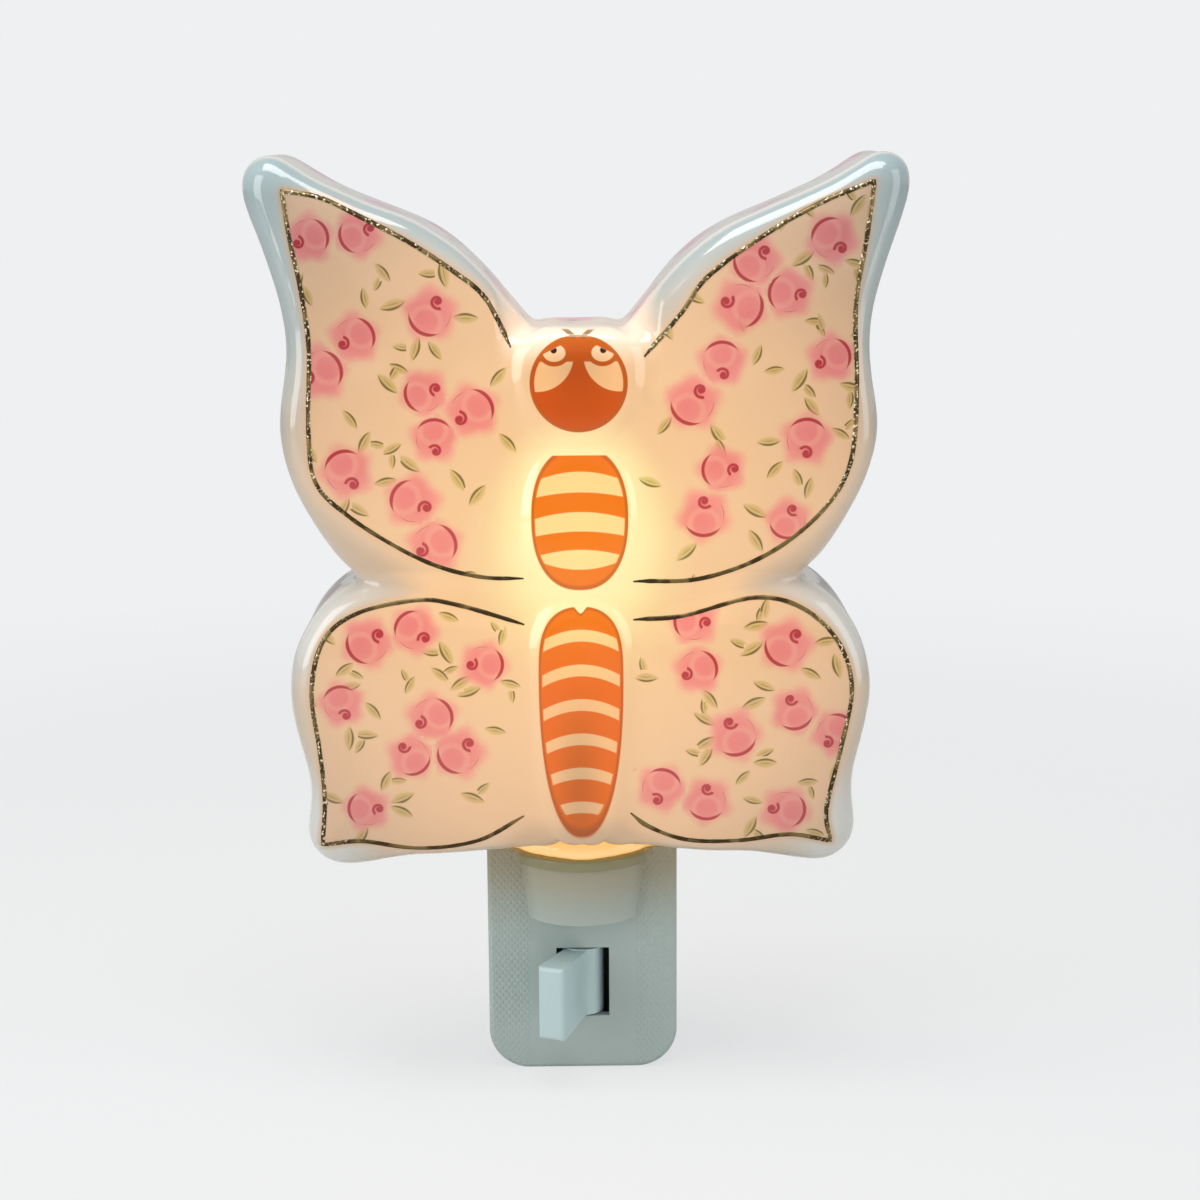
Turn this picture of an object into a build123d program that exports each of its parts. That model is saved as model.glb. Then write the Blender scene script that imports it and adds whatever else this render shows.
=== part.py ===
from build123d import *
import os

from math import radians, sin, tan

os.makedirs("parts", exist_ok=True)

# A plug-in night light: a porcelain butterfly clamped on a plastic base with a lamp inside.
# Lengths are millimetres. The wall is the plane Y = 0, the room lies towards -Y, +Z is up,
# and the origin is midway between the plug blades. Depths are measured from the wall.

# Fits
overrun = 1.0
air_gap = 0.3
slip_fit = 0.05

# Base housing
base_width = 35.0
base_height = 43.0
base_depth = 24.0
base_wall = 2.0
base_corner_radius = 7.5
base_edge_radius = 1.0
base_top = 19.0
rear_cover_depth = 5.0
rear_wall = 2.5
tongue_front_depth = 14.0

# Half-round shelf and boss on the base front
shelf_radius = 14.2
shelf_thickness = 2.2
shelf_edge_radius = 0.6
boss_top_radius = 13.0
boss_foot_radius = 11.5
boss_drop = 13.2

# Lamp holder
lamp_depth = 18.0
tube_radius = 8.5
tube_bore_radius = 5.9
tube_rise = 38.0
flange_radius = 9.8
flange_thickness = 4.5

# Lamp socket
shell_height = 14.0
shell_radius = 6.7
shell_wall = 0.4
shell_floor = 0.5
shell_floor_bore_radius = 3.4
disc_thickness = 3.0
thread_pitch = 2.54
thread_turns = 4
thread_lead_in = 1.2
contact_head_radius = 2.4
contact_head_height = 1.6
contact_edge_radius = 0.8
contact_stem_radius = 1.2
contact_tail_thickness = 0.6
lug_width = 2.2
lug_thickness = 0.6
lug_drop = 1.0

# Ring nut and washer that hold the shade
washer_thickness = 1.0
washer_radius = 11.3
ring_radius = 11.5
ring_height = 4.5
ring_notches = 20
ring_notch_radius = 0.5

# Lamp
bulb_length = 54.0
bulb_radius = 11.0
bulb_neck_radius = 5.0
bulb_glass_wall = 0.7
bulb_neck_seat = 3.0
bulb_tip_radius = 2.0
bulb_tip_height = 0.8
bulb_tip_edge_radius = 0.5
insulator_height = 2.4
insulator_foot_radius = 2.6
cap_height = 11.5
cap_radius = 5.45
cap_wall = 0.4
cap_thread_height = 0.4
stem_radius = 2.0
stem_rise = 12.0
stem_flare_height = 2.0
lead_radius = 0.3
lead_pitch = 2.4
lead_spread = 10.0
lead_straight = 2.5
lead_rise = 9.0
lead_bend_radius = 2.0
filament_radius = 0.25
filament_arch = 3.0
bulb_profile_shares = [(0.80, 0.17), (1.0, 0.38), (0.88, 0.62), (0.56, 0.88), (0.31, 0.97)]

# Plug blades
blade_spacing = 12.7
blade_thickness = 1.5
live_blade_width = 6.35
neutral_blade_width = 7.94
blade_length = 16.7
blade_nose_radius = 1.5
blade_hole_radius = 1.6
blade_hole_reach = 11.7
blade_block_width = 19.0
blade_block_height = 13.0
blade_block_depth = 6.5
blade_shoulder_width = 11.0
blade_shoulder_depth = 3.0

# Cover screws
screw_spread = 24.0
screw_drop = 17.0
screw_radius = 1.3
screw_length = 10.0
screw_head_radius = 2.5
screw_head_height = 1.8
screw_slot_width = 0.7
screw_slot_depth = 0.8
screw_post_radius = 3.2
screw_sink = 2.2

# Rocker switch
rocker_drop = 26.0
rocker_tilt = 22.0
rocker_pivot_set_back = 3.5
drum_radius = 3.9
drum_height = 12.8
slot_width = 9.8
slot_height = 13.4
paddle_reach = 16.0
paddle_root_reach = 2.0
paddle_root_width = 4.2
paddle_root_height = 12.2
paddle_tip_width = 5.0
paddle_tip_height = 13.8
paddle_edge_radius = 0.8
tail_reach = 8.0
tail_radius = 1.2
tail_height = 4.0
pin_radius = 1.0
pin_boss_width = 6.0
pin_boss_depth = 4.5
pin_boss_height = 3.0

# Switch contacts
leaf_depth = 13.6
leaf_width = 3.6
leaf_thickness = 0.4
leaf_root = 7.5
leaf_overlap = 2.0
leaf_swing = 13.0
contact_radius = 1.3
contact_height = 0.5
contact_drop = 5.0
strip_thickness = 0.8
strip_height = 4.0
strip_bend_depth = 10.8
strip_overlap = 2.5
terminal_height = 3.4
terminal_rib_width = 2.3
terminal_rib_set_in = 0.6

# Wires
wire_radius = 0.8
wire_bend_radius = 3.5
neutral_entry_x = -3.2
neutral_entry_depth = 15.6
neutral_rise = 3.0
neutral_turn_drop = 2.3

# Porcelain shade
shade_half_span = 56.8
shade_height = 125.0
shade_lift = 0.5
shade_rear_depth = 12.0
shade_front_depth = 37.0
shade_wall = 3.5
wing_edge_radius = 4.0
body_relief = 2.0
body_edge_radius = 1.8
bridge_thickness = 3.0
bridge_width = 54.0
bridge_front_gap = 0.3
core_width = 16.0
waist_width = 66.0
waist_height = 14.0
foot_cut_width = 30.0
foot_cut_height = 8.5

# Outlines of the shade's right half as shares of its half span and of its height
upper_wing_shares = [
    (-0.052, 0.525),
    (0.031, 0.707),
    (0.162, 0.774),
    (0.295, 0.847),
    (0.429, 0.897),
    (0.687, 0.948),
    (0.838, 0.985),
    (0.914, 1.0),
    (0.975, 0.989),
    (1.0, 0.959),
    (0.988, 0.927),
    (0.938, 0.862),
    (0.883, 0.743),
    (0.911, 0.616),
    (0.833, 0.509),
    (0.694, 0.423),
    (0.495, 0.382),
    (0.186, 0.353),
    (-0.021, 0.379),
]
lower_wing_shares = [
    (-0.052, 0.222),
    (-0.021, 0.365),
    (0.186, 0.394),
    (0.495, 0.421),
    (0.676, 0.414),
    (0.832, 0.359),
    (0.905, 0.265),
    (0.873, 0.166),
    (0.852, 0.1),
    (0.856, 0.035),
    (0.785, 0.002),
    (0.62, 0.006),
    (0.31, 0.017),
    (0.052, 0.047),
]
waist_rise_share = 0.389
head_rise_share = 0.766
head_shares = [(0, head_rise_share), (0.129, 0.762), (0.187, 0.729), (0.185, 0.678), (0.123, 0.625), (0, 0.607)]
thorax_shares = [(0, 0.611), (0.093, 0.602), (0.164, 0.544), (0.171, 0.498), (0.121, 0.422), (0, 0.398)]
abdomen_shares = [(0, 0.39), (0.099, 0.38), (0.151, 0.324), (0.15, 0.268), (0.137, 0.152), (0.083, 0.058), (0, 0.036)]

# Places worked out from the sizes above
base_ceiling = base_top - base_wall
base_inner_depth = base_depth - base_wall
boss_foot = base_top - boss_drop
lamp_plane = Plane.XZ.offset(lamp_depth)
lamp_axis = Axis((0, -lamp_depth, 0), (0, 0, 1))
front_sweep_axis = Axis((0, -lamp_depth, 0), (0, 0, -1))
tube_top = base_top + tube_rise
tube_foot = base_ceiling - flange_thickness
shell_foot = tube_top - shell_height
disc_foot = shell_foot - disc_thickness
socket_bore_radius = shell_radius + slip_fit
contact_top = shell_foot + contact_head_height
contact_foot = disc_foot - contact_tail_thickness
bulb_foot = contact_top + slip_fit
insulator_foot = bulb_foot + bulb_tip_height
cap_foot = insulator_foot + insulator_height
cap_top = cap_foot + cap_height
cap_thread_radius = cap_radius + cap_thread_height
glass_foot = cap_top - bulb_neck_seat
glass_top = bulb_foot + bulb_length
stem_top = glass_foot + stem_rise
lead_top = stem_top + lead_rise
shade_foot = base_top + shade_lift
core_height = shade_lift + head_rise_share * shade_height - shade_wall
bridge_top = base_top + bridge_thickness
washer_top = bridge_top + washer_thickness
blade_x = blade_spacing / 2
blade_tail_depth = blade_block_depth + blade_shoulder_depth
screw_places = [(-screw_spread / 2, -screw_drop), (screw_spread / 2, -screw_drop)]
rocker_z = base_top - rocker_drop
pivot_depth = base_depth - rocker_pivot_set_back
rocker_across = Vector(1, 0, 0).rotate(Axis.Z, -rocker_tilt)
lever_way = Vector(0, -1, 0).rotate(Axis.Z, -rocker_tilt)
pivot = Vector(0, -pivot_depth, rocker_z)
rocker_plan = Plane(origin=pivot, x_dir=rocker_across, z_dir=(0, 0, 1))
lever_plane = Plane(origin=pivot, x_dir=rocker_across, z_dir=lever_way)
pin_boss_centre = slot_height / 2 + air_gap + pin_boss_height / 2
pin_half_length = pin_boss_centre + pin_boss_height / 2
tail_throw = (tail_reach - tail_radius) * sin(radians(rocker_tilt))
tail_top = rocker_z + tail_height / 2
leaf_tip = rocker_z - leaf_overlap
leaf_pushed = (leaf_root - tail_top) * tan(radians(leaf_swing))
leaf_face = leaf_pushed - tail_throw - tail_radius - air_gap
leaf_back = leaf_face - leaf_thickness
leaf_front_depth = leaf_depth + leaf_width / 2
contact_z = leaf_root - contact_drop
fixed_face = leaf_face + contact_height + slip_fit
strip_face = fixed_face + contact_height
strip_outer_x = blade_x - blade_thickness / 2
terminal_foot = leaf_root + air_gap
terminal_top = terminal_foot + terminal_height
switched_x = leaf_back + leaf_thickness / 2


def base_outline(inset):
    # Outline of the base seen from the room, drawn in by the inset
    with BuildSketch() as outline:
        with Locations((0, base_top - base_height / 2)):
            Rectangle(base_width - 2 * inset, base_height - 2 * inset)
        fillet(outline.vertices().group_by(Axis.Y)[0], base_corner_radius - inset)
    return outline.sketch


def share_points(shares):
    # Places in the front view from shares of the shade's half span and height
    return [Vector(x * shade_half_span, shade_foot + z * shade_height) for x, z in shares]


def smooth_outline(points):
    # Closed smooth outline through the points
    with BuildSketch() as outline:
        with BuildLine():
            Spline(*points, periodic=True)
        make_face()
    return outline.sketch


def wing_hollow(shares):
    # Outline of a wing moved inwards by the wall, for a list of points that runs clockwise
    points = share_points(shares)
    rim = Edge.make_spline(points, periodic=True)
    ways_in = [rim.tangent_at(rim.param_at_point(point)).rotate(Axis.Z, -90) for point in points]
    return smooth_outline([point + way * shade_wall for point, way in zip(points, ways_in)])


def body_outline(half_shares):
    # Outline of a body segment from its right half, closed on the flank where the join shows least
    left_half = [(-x, z) for x, z in reversed(half_shares[1:-1])]
    return smooth_outline(share_points(half_shares[2:] + left_half + half_shares[:2]))


def puffed_lobe(outline, front_depth, edge_radius):
    # Solid pillow with the given outline and a rounded front edge
    with BuildPart() as lobe:
        with BuildSketch(Plane.XZ.offset(shade_rear_depth)):
            add(outline)
        extrude(amount=front_depth - shade_rear_depth)
        fillet(lobe.faces().sort_by(Axis.Y)[0].edges(), edge_radius)
    return lobe.part


def glass_profile(inset):
    # Half section of the lamp glass in the lamp plane, drawn in by the inset
    rise = glass_top - cap_top
    curve_points = [(r * bulb_radius - inset, cap_top + t * rise) for r, t in bulb_profile_shares]
    with BuildSketch() as profile:
        with BuildLine():
            neck = Line((bulb_neck_radius - inset, glass_foot), (bulb_neck_radius - inset, cap_top))
            crown = (0, glass_top - inset)
            Spline(neck @ 1, *curve_points, crown, tangents=[neck % 1, (-1, 0)])
            Polyline(crown, (0, glass_foot), neck @ 0)
        make_face()
    return profile.sketch


def plug_blade(x, width):
    # Flat blade with a shoulder behind the rear cover and a hole near its nose
    with BuildPart() as blade:
        with BuildSketch(Plane.YZ.offset(x)) as side:
            with Locations(((blade_length - blade_tail_depth) / 2, 0)):
                Rectangle(blade_length + blade_tail_depth, width)
            fillet(side.vertices().group_by(Axis.X)[-1], blade_nose_radius)
            with Locations((-blade_block_depth - blade_shoulder_depth / 2, 0)):
                Rectangle(blade_shoulder_depth, blade_shoulder_width)
            with Locations((blade_hole_reach, 0)):
                Circle(blade_hole_radius, mode=Mode.SUBTRACT)
        extrude(amount=blade_thickness / 2, both=True)
    return blade.part


base_outer = base_outline(0)
base_inner = base_outline(base_wall)

# Front cover: plate, side walls, shelf and boss, switch slot, posts and ribs
with BuildPart() as front_cover:
    with BuildSketch(Plane.XZ.offset(rear_cover_depth)):
        add(base_outer)
    extrude(amount=base_depth - rear_cover_depth)
    front_edges = front_cover.faces().sort_by(Axis.Y)[0].edges().sort_by(Axis.Z)
    fillet(front_edges[:-1], base_edge_radius)
    with BuildSketch(lamp_plane) as boss_profile:
        with BuildLine():
            Polyline(
                (0, boss_foot),
                (boss_foot_radius, boss_foot),
                (boss_top_radius, base_top - shelf_thickness),
                (shelf_radius, base_top - shelf_thickness),
                (shelf_radius, base_top),
                (0, base_top),
                close=True,
            )
        make_face()
        fillet(boss_profile.vertices().group_by(Axis.X)[-1], shelf_edge_radius)
    revolve(axis=front_sweep_axis, revolution_arc=180)
    with BuildSketch(Plane.XZ.offset(rear_cover_depth)):
        add(base_inner)
    extrude(amount=base_inner_depth - rear_cover_depth, mode=Mode.SUBTRACT)
    with BuildSketch(Plane.XY.offset(tube_foot - air_gap)):
        with Locations((0, -lamp_depth)):
            Circle(flange_radius + air_gap)
    extrude(amount=flange_thickness + air_gap, mode=Mode.SUBTRACT)
    with BuildSketch(Plane.XY.offset(base_ceiling)):
        with Locations((0, -lamp_depth)):
            Circle(tube_radius + slip_fit)
        with Locations((0, -lamp_depth / 2)):
            Rectangle(2 * (tube_radius + slip_fit), lamp_depth)
    extrude(amount=base_wall + overrun, mode=Mode.SUBTRACT)
    with BuildSketch(Plane.XZ.offset(base_inner_depth - overrun)):
        with Locations((0, rocker_z)):
            Rectangle(slot_width, slot_height)
    extrude(amount=base_wall + 2 * overrun, mode=Mode.SUBTRACT)
    with BuildSketch(Plane.XZ.offset(base_inner_depth)):
        with Locations((0, rocker_z - pin_boss_centre), (0, rocker_z + pin_boss_centre)):
            Rectangle(pin_boss_width, pin_boss_height)
    extrude(amount=-pin_boss_depth)
    with BuildSketch(Plane.XY.offset(rocker_z)):
        with Locations((0, -pivot_depth)):
            Circle(pin_radius + slip_fit)
    extrude(amount=pin_half_length + overrun, both=True, mode=Mode.SUBTRACT)
    with BuildSketch(Plane.XZ.offset(base_inner_depth)):
        with Locations((leaf_face + terminal_rib_width / 2, (terminal_foot + terminal_top) / 2)):
            Rectangle(terminal_rib_width, terminal_height)
    extrude(amount=leaf_front_depth - terminal_rib_set_in - base_inner_depth)
    with BuildSketch(Plane.XZ.offset(rear_cover_depth)):
        with Locations(*screw_places):
            Circle(screw_post_radius)
    extrude(amount=base_inner_depth - rear_cover_depth)
    with BuildSketch(Plane.XZ.offset(rear_cover_depth)):
        with Locations(*screw_places):
            Circle(screw_radius)
    extrude(amount=screw_length, mode=Mode.SUBTRACT)
front_cover.part.label = "front_cover"
export_step(front_cover.part, "parts/front_cover.step")

# Rear cover: wall face, block for the blades, screw seats and the tongue behind the lamp holder
with BuildPart() as rear_cover:
    with BuildSketch(Plane.XZ):
        add(base_outer)
    extrude(amount=rear_cover_depth)
    with BuildSketch(Plane.XZ.offset(rear_wall)):
        add(base_inner)
    extrude(amount=rear_cover_depth - rear_wall, mode=Mode.SUBTRACT)
    with BuildSketch(Plane.XZ):
        Rectangle(blade_block_width, blade_block_height)
    extrude(amount=blade_block_depth)
    with BuildSketch(Plane.XZ):
        with Locations(*screw_places):
            Circle(screw_post_radius)
    extrude(amount=rear_cover_depth)
    with BuildSketch(Plane.XY.offset(base_ceiling)):
        with Locations((0, -tongue_front_depth / 2)):
            Rectangle(2 * tube_radius, tongue_front_depth)
        with Locations((0, -lamp_depth)):
            Circle(tube_radius + slip_fit, mode=Mode.SUBTRACT)
    extrude(amount=base_wall)
    with BuildSketch(Plane.XZ.offset(-overrun)):
        with Locations((blade_x, 0)):
            Rectangle(blade_thickness + 2 * slip_fit, live_blade_width + 2 * slip_fit)
        with Locations((-blade_x, 0)):
            Rectangle(blade_thickness + 2 * slip_fit, neutral_blade_width + 2 * slip_fit)
    extrude(amount=blade_block_depth + 2 * overrun, mode=Mode.SUBTRACT)
    with BuildSketch(Plane.XZ.offset(-overrun)):
        with Locations(*screw_places):
            Circle(screw_head_radius + air_gap)
    extrude(amount=screw_sink + overrun, mode=Mode.SUBTRACT)
    with BuildSketch(Plane.XZ):
        with Locations(*screw_places):
            Circle(screw_radius + slip_fit)
    extrude(amount=rear_cover_depth + overrun, mode=Mode.SUBTRACT)
rear_cover.part.label = "rear_cover"
export_step(rear_cover.part, "parts/rear_cover.step")

# Two screws that close the base from behind
with BuildPart() as cover_screws:
    with BuildSketch(Plane.XZ.offset(screw_sink - screw_head_height)):
        with Locations(*screw_places):
            Circle(screw_head_radius)
    extrude(amount=screw_head_height)
    with BuildSketch(Plane.XZ.offset(screw_sink)):
        with Locations(*screw_places):
            Circle(screw_radius)
    extrude(amount=screw_length)
    with BuildSketch(Plane.XZ.offset(screw_sink - screw_head_height)):
        with Locations(*screw_places):
            Rectangle(2 * screw_head_radius, screw_slot_width)
    extrude(amount=screw_slot_depth, mode=Mode.SUBTRACT)
cover_screws.part.label = "cover_screws"
export_step(cover_screws.part, "parts/cover_screws.step")

# Plug blades, the neutral one wider
live_blade = plug_blade(blade_x, live_blade_width)
live_blade.label = "live_blade"
export_step(live_blade, "parts/live_blade.step")
neutral_blade = plug_blade(-blade_x, neutral_blade_width)
neutral_blade.label = "neutral_blade"
export_step(neutral_blade, "parts/neutral_blade.step")

# Rocker: drum on the pin, finger paddle in front and a tail that pushes the switch leaf
with BuildPart() as switch_rocker:
    with BuildSketch(lever_plane.offset(paddle_root_reach)):
        Rectangle(paddle_root_width, paddle_root_height)
    with BuildSketch(lever_plane.offset(paddle_reach)):
        Rectangle(paddle_tip_width, paddle_tip_height)
    loft()
    tip_face = switch_rocker.faces().sort_by(Axis(pivot, lever_way))[-1]
    fillet(tip_face.edges(), paddle_edge_radius)
    with BuildSketch(rocker_plan):
        Circle(drum_radius)
    extrude(amount=drum_height / 2, both=True)
    with BuildSketch(rocker_plan):
        with Locations((0, (tail_reach - tail_radius) / 2)):
            Rectangle(2 * tail_radius, tail_reach - tail_radius)
        with Locations((0, tail_reach - tail_radius)):
            Circle(tail_radius)
    extrude(amount=tail_height / 2, both=True)
    with BuildSketch(rocker_plan):
        Circle(pin_radius + slip_fit)
    extrude(amount=drum_height, both=True, mode=Mode.SUBTRACT)
switch_rocker.part.label = "switch_rocker"
export_step(switch_rocker.part, "parts/switch_rocker.step")

# Steel pin that carries the rocker in the two bosses of the front cover
with BuildPart() as rocker_pin:
    with BuildSketch(Plane.XY.offset(rocker_z)):
        with Locations((0, -pivot_depth)):
            Circle(pin_radius)
    extrude(amount=pin_half_length, both=True)
rocker_pin.part.label = "rocker_pin"
export_step(rocker_pin.part, "parts/rocker_pin.step")

# Switch leaf, the springy moving side of the switch
with BuildPart() as switch_leaf:
    with BuildSketch(Plane.YZ.offset(leaf_back)):
        with Locations((-leaf_depth, (leaf_root + leaf_tip) / 2)):
            Rectangle(leaf_width, leaf_root - leaf_tip)
    extrude(amount=leaf_thickness)
switch_leaf.part.label = "switch_leaf"
export_step(switch_leaf.part, "parts/switch_leaf.step")

# Contact buttons, one on the leaf and one on the live strip
with BuildPart() as moving_contact:
    with BuildSketch(Plane.YZ.offset(leaf_face)):
        with Locations((-leaf_depth, contact_z)):
            Circle(contact_radius)
    extrude(amount=contact_height)
moving_contact.part.label = "moving_contact"
export_step(moving_contact.part, "parts/moving_contact.step")

with BuildPart() as fixed_contact:
    with BuildSketch(Plane.YZ.offset(fixed_face)):
        with Locations((-leaf_depth, contact_z)):
            Circle(contact_radius)
    extrude(amount=contact_height)
fixed_contact.part.label = "fixed_contact"
export_step(fixed_contact.part, "parts/fixed_contact.step")

# Live strip: from the live blade's shoulder across to the fixed contact
with BuildPart() as live_strip:
    with BuildSketch(Plane.XY.offset(contact_z - strip_height / 2)):
        with BuildLine():
            Polyline(
                (strip_outer_x, strip_overlap - blade_tail_depth),
                (strip_outer_x, -strip_bend_depth - strip_thickness),
                (strip_face + strip_thickness, -strip_bend_depth - strip_thickness),
                (strip_face + strip_thickness, -leaf_front_depth),
                (strip_face, -leaf_front_depth),
                (strip_face, -strip_bend_depth),
                (strip_outer_x - strip_thickness, -strip_bend_depth),
                (strip_outer_x - strip_thickness, strip_overlap - blade_tail_depth),
                close=True,
            )
        make_face()
    extrude(amount=strip_height)
live_strip.part.label = "live_strip"
export_step(live_strip.part, "parts/live_strip.step")

# Terminal on its rib, where the leaf springs from and the switched wire is soldered
with BuildPart() as switch_terminal:
    with BuildSketch(Plane.YZ.offset(leaf_back)):
        with Locations((-leaf_depth, (terminal_foot + terminal_top) / 2)):
            Rectangle(leaf_width, terminal_height)
    extrude(amount=leaf_thickness)
switch_terminal.part.label = "switch_terminal"
export_step(switch_terminal.part, "parts/switch_terminal.step")

# Wires up the lamp holder
with BuildPart() as switched_wire:
    with BuildSketch(Plane.XY.offset(terminal_top)):
        with Locations((switched_x, -leaf_depth)):
            Circle(wire_radius)
    extrude(amount=contact_foot - terminal_top)
switched_wire.part.label = "switched_wire"
export_step(switched_wire.part, "parts/switched_wire.step")

with BuildPart() as neutral_wire:
    shoulder_depth = blade_block_depth + blade_shoulder_depth / 2
    shoulder_top = blade_shoulder_width / 2
    with BuildLine() as neutral_route:
        FilletPolyline(
            (-blade_x, -shoulder_depth, shoulder_top),
            (-blade_x, -shoulder_depth, shoulder_top + neutral_rise),
            (neutral_entry_x, -neutral_entry_depth, tube_foot - neutral_turn_drop),
            (neutral_entry_x, -neutral_entry_depth, disc_foot - lug_drop),
            radius=wire_bend_radius,
        )
    with BuildSketch(Plane.XY.offset(shoulder_top)):
        with Locations((-blade_x, -shoulder_depth)):
            Circle(wire_radius)
    sweep(path=neutral_route.wire())
neutral_wire.part.label = "neutral_wire"
export_step(neutral_wire.part, "parts/neutral_wire.step")

# Lamp holder tube with the flange that the housing traps
with BuildPart() as holder_tube:
    with BuildSketch(lamp_plane):
        with BuildLine():
            Polyline(
                (tube_bore_radius, tube_foot),
                (flange_radius, tube_foot),
                (flange_radius, base_ceiling),
                (tube_radius, base_ceiling),
                (tube_radius, tube_top),
                (socket_bore_radius, tube_top),
                (socket_bore_radius, disc_foot),
                (tube_bore_radius, disc_foot),
                close=True,
            )
        make_face()
    revolve(axis=lamp_axis)
holder_tube.part.label = "holder_tube"
export_step(holder_tube.part, "parts/holder_tube.step")

# Insulating disc under the socket shell
with BuildPart() as contact_disc:
    with BuildSketch(Plane.XY.offset(disc_foot)):
        with Locations((0, -lamp_depth)):
            Circle(shell_radius)
            Circle(contact_stem_radius + slip_fit, mode=Mode.SUBTRACT)
        with Locations((neutral_entry_x, -neutral_entry_depth)):
            Rectangle(lug_thickness + 2 * slip_fit, lug_width + 2 * slip_fit, mode=Mode.SUBTRACT)
    extrude(amount=disc_thickness)
contact_disc.part.label = "contact_disc"
export_step(contact_disc.part, "parts/contact_disc.step")

# Socket shell: brass barrel with rolled rings, a floor ring and a lug for the neutral wire
with BuildPart() as socket_shell:
    groove_radius = shell_radius - shell_wall
    ridge_radius = cap_thread_radius + 2 * slip_fit
    with BuildSketch(lamp_plane):
        with Locations((shell_radius - shell_wall / 2, shell_foot + shell_height / 2)):
            Rectangle(shell_wall, shell_height)
        with Locations(((shell_floor_bore_radius + shell_radius) / 2, shell_foot + shell_floor / 2)):
            Rectangle(shell_radius - shell_floor_bore_radius, shell_floor)
        with Locations((groove_radius, cap_foot + thread_lead_in + thread_turns * thread_pitch / 2)):
            with GridLocations(0, thread_pitch, 1, thread_turns - 1):
                Circle(groove_radius - ridge_radius)
    revolve(axis=lamp_axis)
    with BuildSketch(Plane.XY.offset(disc_foot - lug_drop)):
        with Locations((neutral_entry_x, -neutral_entry_depth)):
            Rectangle(lug_thickness, lug_width)
    extrude(amount=disc_thickness + lug_drop + shell_floor)
socket_shell.part.label = "socket_shell"
export_step(socket_shell.part, "parts/socket_shell.step")

# Centre contact: button, rivet stem and a tail that reaches over the switched wire
with BuildPart() as centre_contact:
    with BuildSketch(Plane.XY.offset(shell_foot)):
        with Locations((0, -lamp_depth)):
            Circle(contact_head_radius)
    extrude(amount=contact_head_height)
    fillet(centre_contact.faces().sort_by(Axis.Z)[-1].edges(), contact_edge_radius)
    with BuildSketch(Plane.XY.offset(contact_foot)):
        with Locations((0, -lamp_depth)):
            Circle(contact_stem_radius)
    extrude(amount=disc_thickness + contact_tail_thickness)
    with BuildSketch(Plane.XY.offset(contact_foot)):
        tail_middle = (switched_x / 2, -(lamp_depth + leaf_depth) / 2)
        SlotCenterPoint(tail_middle, (switched_x, -leaf_depth), 2 * contact_stem_radius)
    extrude(amount=contact_tail_thickness)
centre_contact.part.label = "centre_contact"
export_step(centre_contact.part, "parts/centre_contact.step")

# Soft washer and ring nut that clamp the shade's bridge on the base
with BuildPart() as shade_washer:
    with BuildSketch(Plane.XY.offset(bridge_top)):
        with Locations((0, -lamp_depth)):
            Circle(washer_radius)
            Circle(tube_radius + slip_fit, mode=Mode.SUBTRACT)
    extrude(amount=washer_thickness)
shade_washer.part.label = "shade_washer"
export_step(shade_washer.part, "parts/shade_washer.step")

with BuildPart() as shade_ring:
    with BuildSketch(Plane.XY.offset(washer_top)):
        with Locations((0, -lamp_depth)):
            Circle(ring_radius)
            Circle(tube_radius + slip_fit, mode=Mode.SUBTRACT)
            with PolarLocations(ring_radius, ring_notches):
                Circle(ring_notch_radius, mode=Mode.SUBTRACT)
    extrude(amount=ring_height)
shade_ring.part.label = "shade_ring"
export_step(shade_ring.part, "parts/shade_ring.step")

# Lamp: solder tip, insulator, threaded cap
with BuildPart() as bulb_tip:
    with BuildSketch(Plane.XY.offset(bulb_foot)):
        with Locations((0, -lamp_depth)):
            Circle(bulb_tip_radius)
    extrude(amount=bulb_tip_height)
    fillet(bulb_tip.faces().sort_by(Axis.Z)[0].edges(), bulb_tip_edge_radius)
bulb_tip.part.label = "bulb_tip"
export_step(bulb_tip.part, "parts/bulb_tip.step")

with BuildPart() as bulb_insulator:
    with BuildSketch(lamp_plane):
        with BuildLine():
            Polyline(
                (0, insulator_foot),
                (insulator_foot_radius, insulator_foot),
                (cap_radius, cap_foot),
                (0, cap_foot),
                close=True,
            )
        make_face()
    revolve(axis=lamp_axis)
bulb_insulator.part.label = "bulb_insulator"
export_step(bulb_insulator.part, "parts/bulb_insulator.step")

with BuildPart() as bulb_cap:
    with BuildSketch(lamp_plane):
        with Locations((cap_radius - cap_wall / 2, cap_foot + cap_height / 2)):
            Rectangle(cap_wall, cap_height)
        with Locations((cap_radius, cap_foot + thread_lead_in + thread_turns * thread_pitch / 2)):
            with GridLocations(0, thread_pitch, 1, thread_turns - 1):
                Circle(cap_thread_height)
    revolve(axis=lamp_axis)
bulb_cap.part.label = "bulb_cap"
export_step(bulb_cap.part, "parts/bulb_cap.step")

# Lamp: glass envelope, stem, leads and filament
glass_outer = glass_profile(0)
glass_inner = glass_profile(bulb_glass_wall)
with BuildPart() as bulb_glass:
    with BuildSketch(lamp_plane):
        add(glass_outer)
        add(glass_inner, mode=Mode.SUBTRACT)
    revolve(axis=lamp_axis)
bulb_glass.part.label = "bulb_glass"
export_step(bulb_glass.part, "parts/bulb_glass.step")

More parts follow.
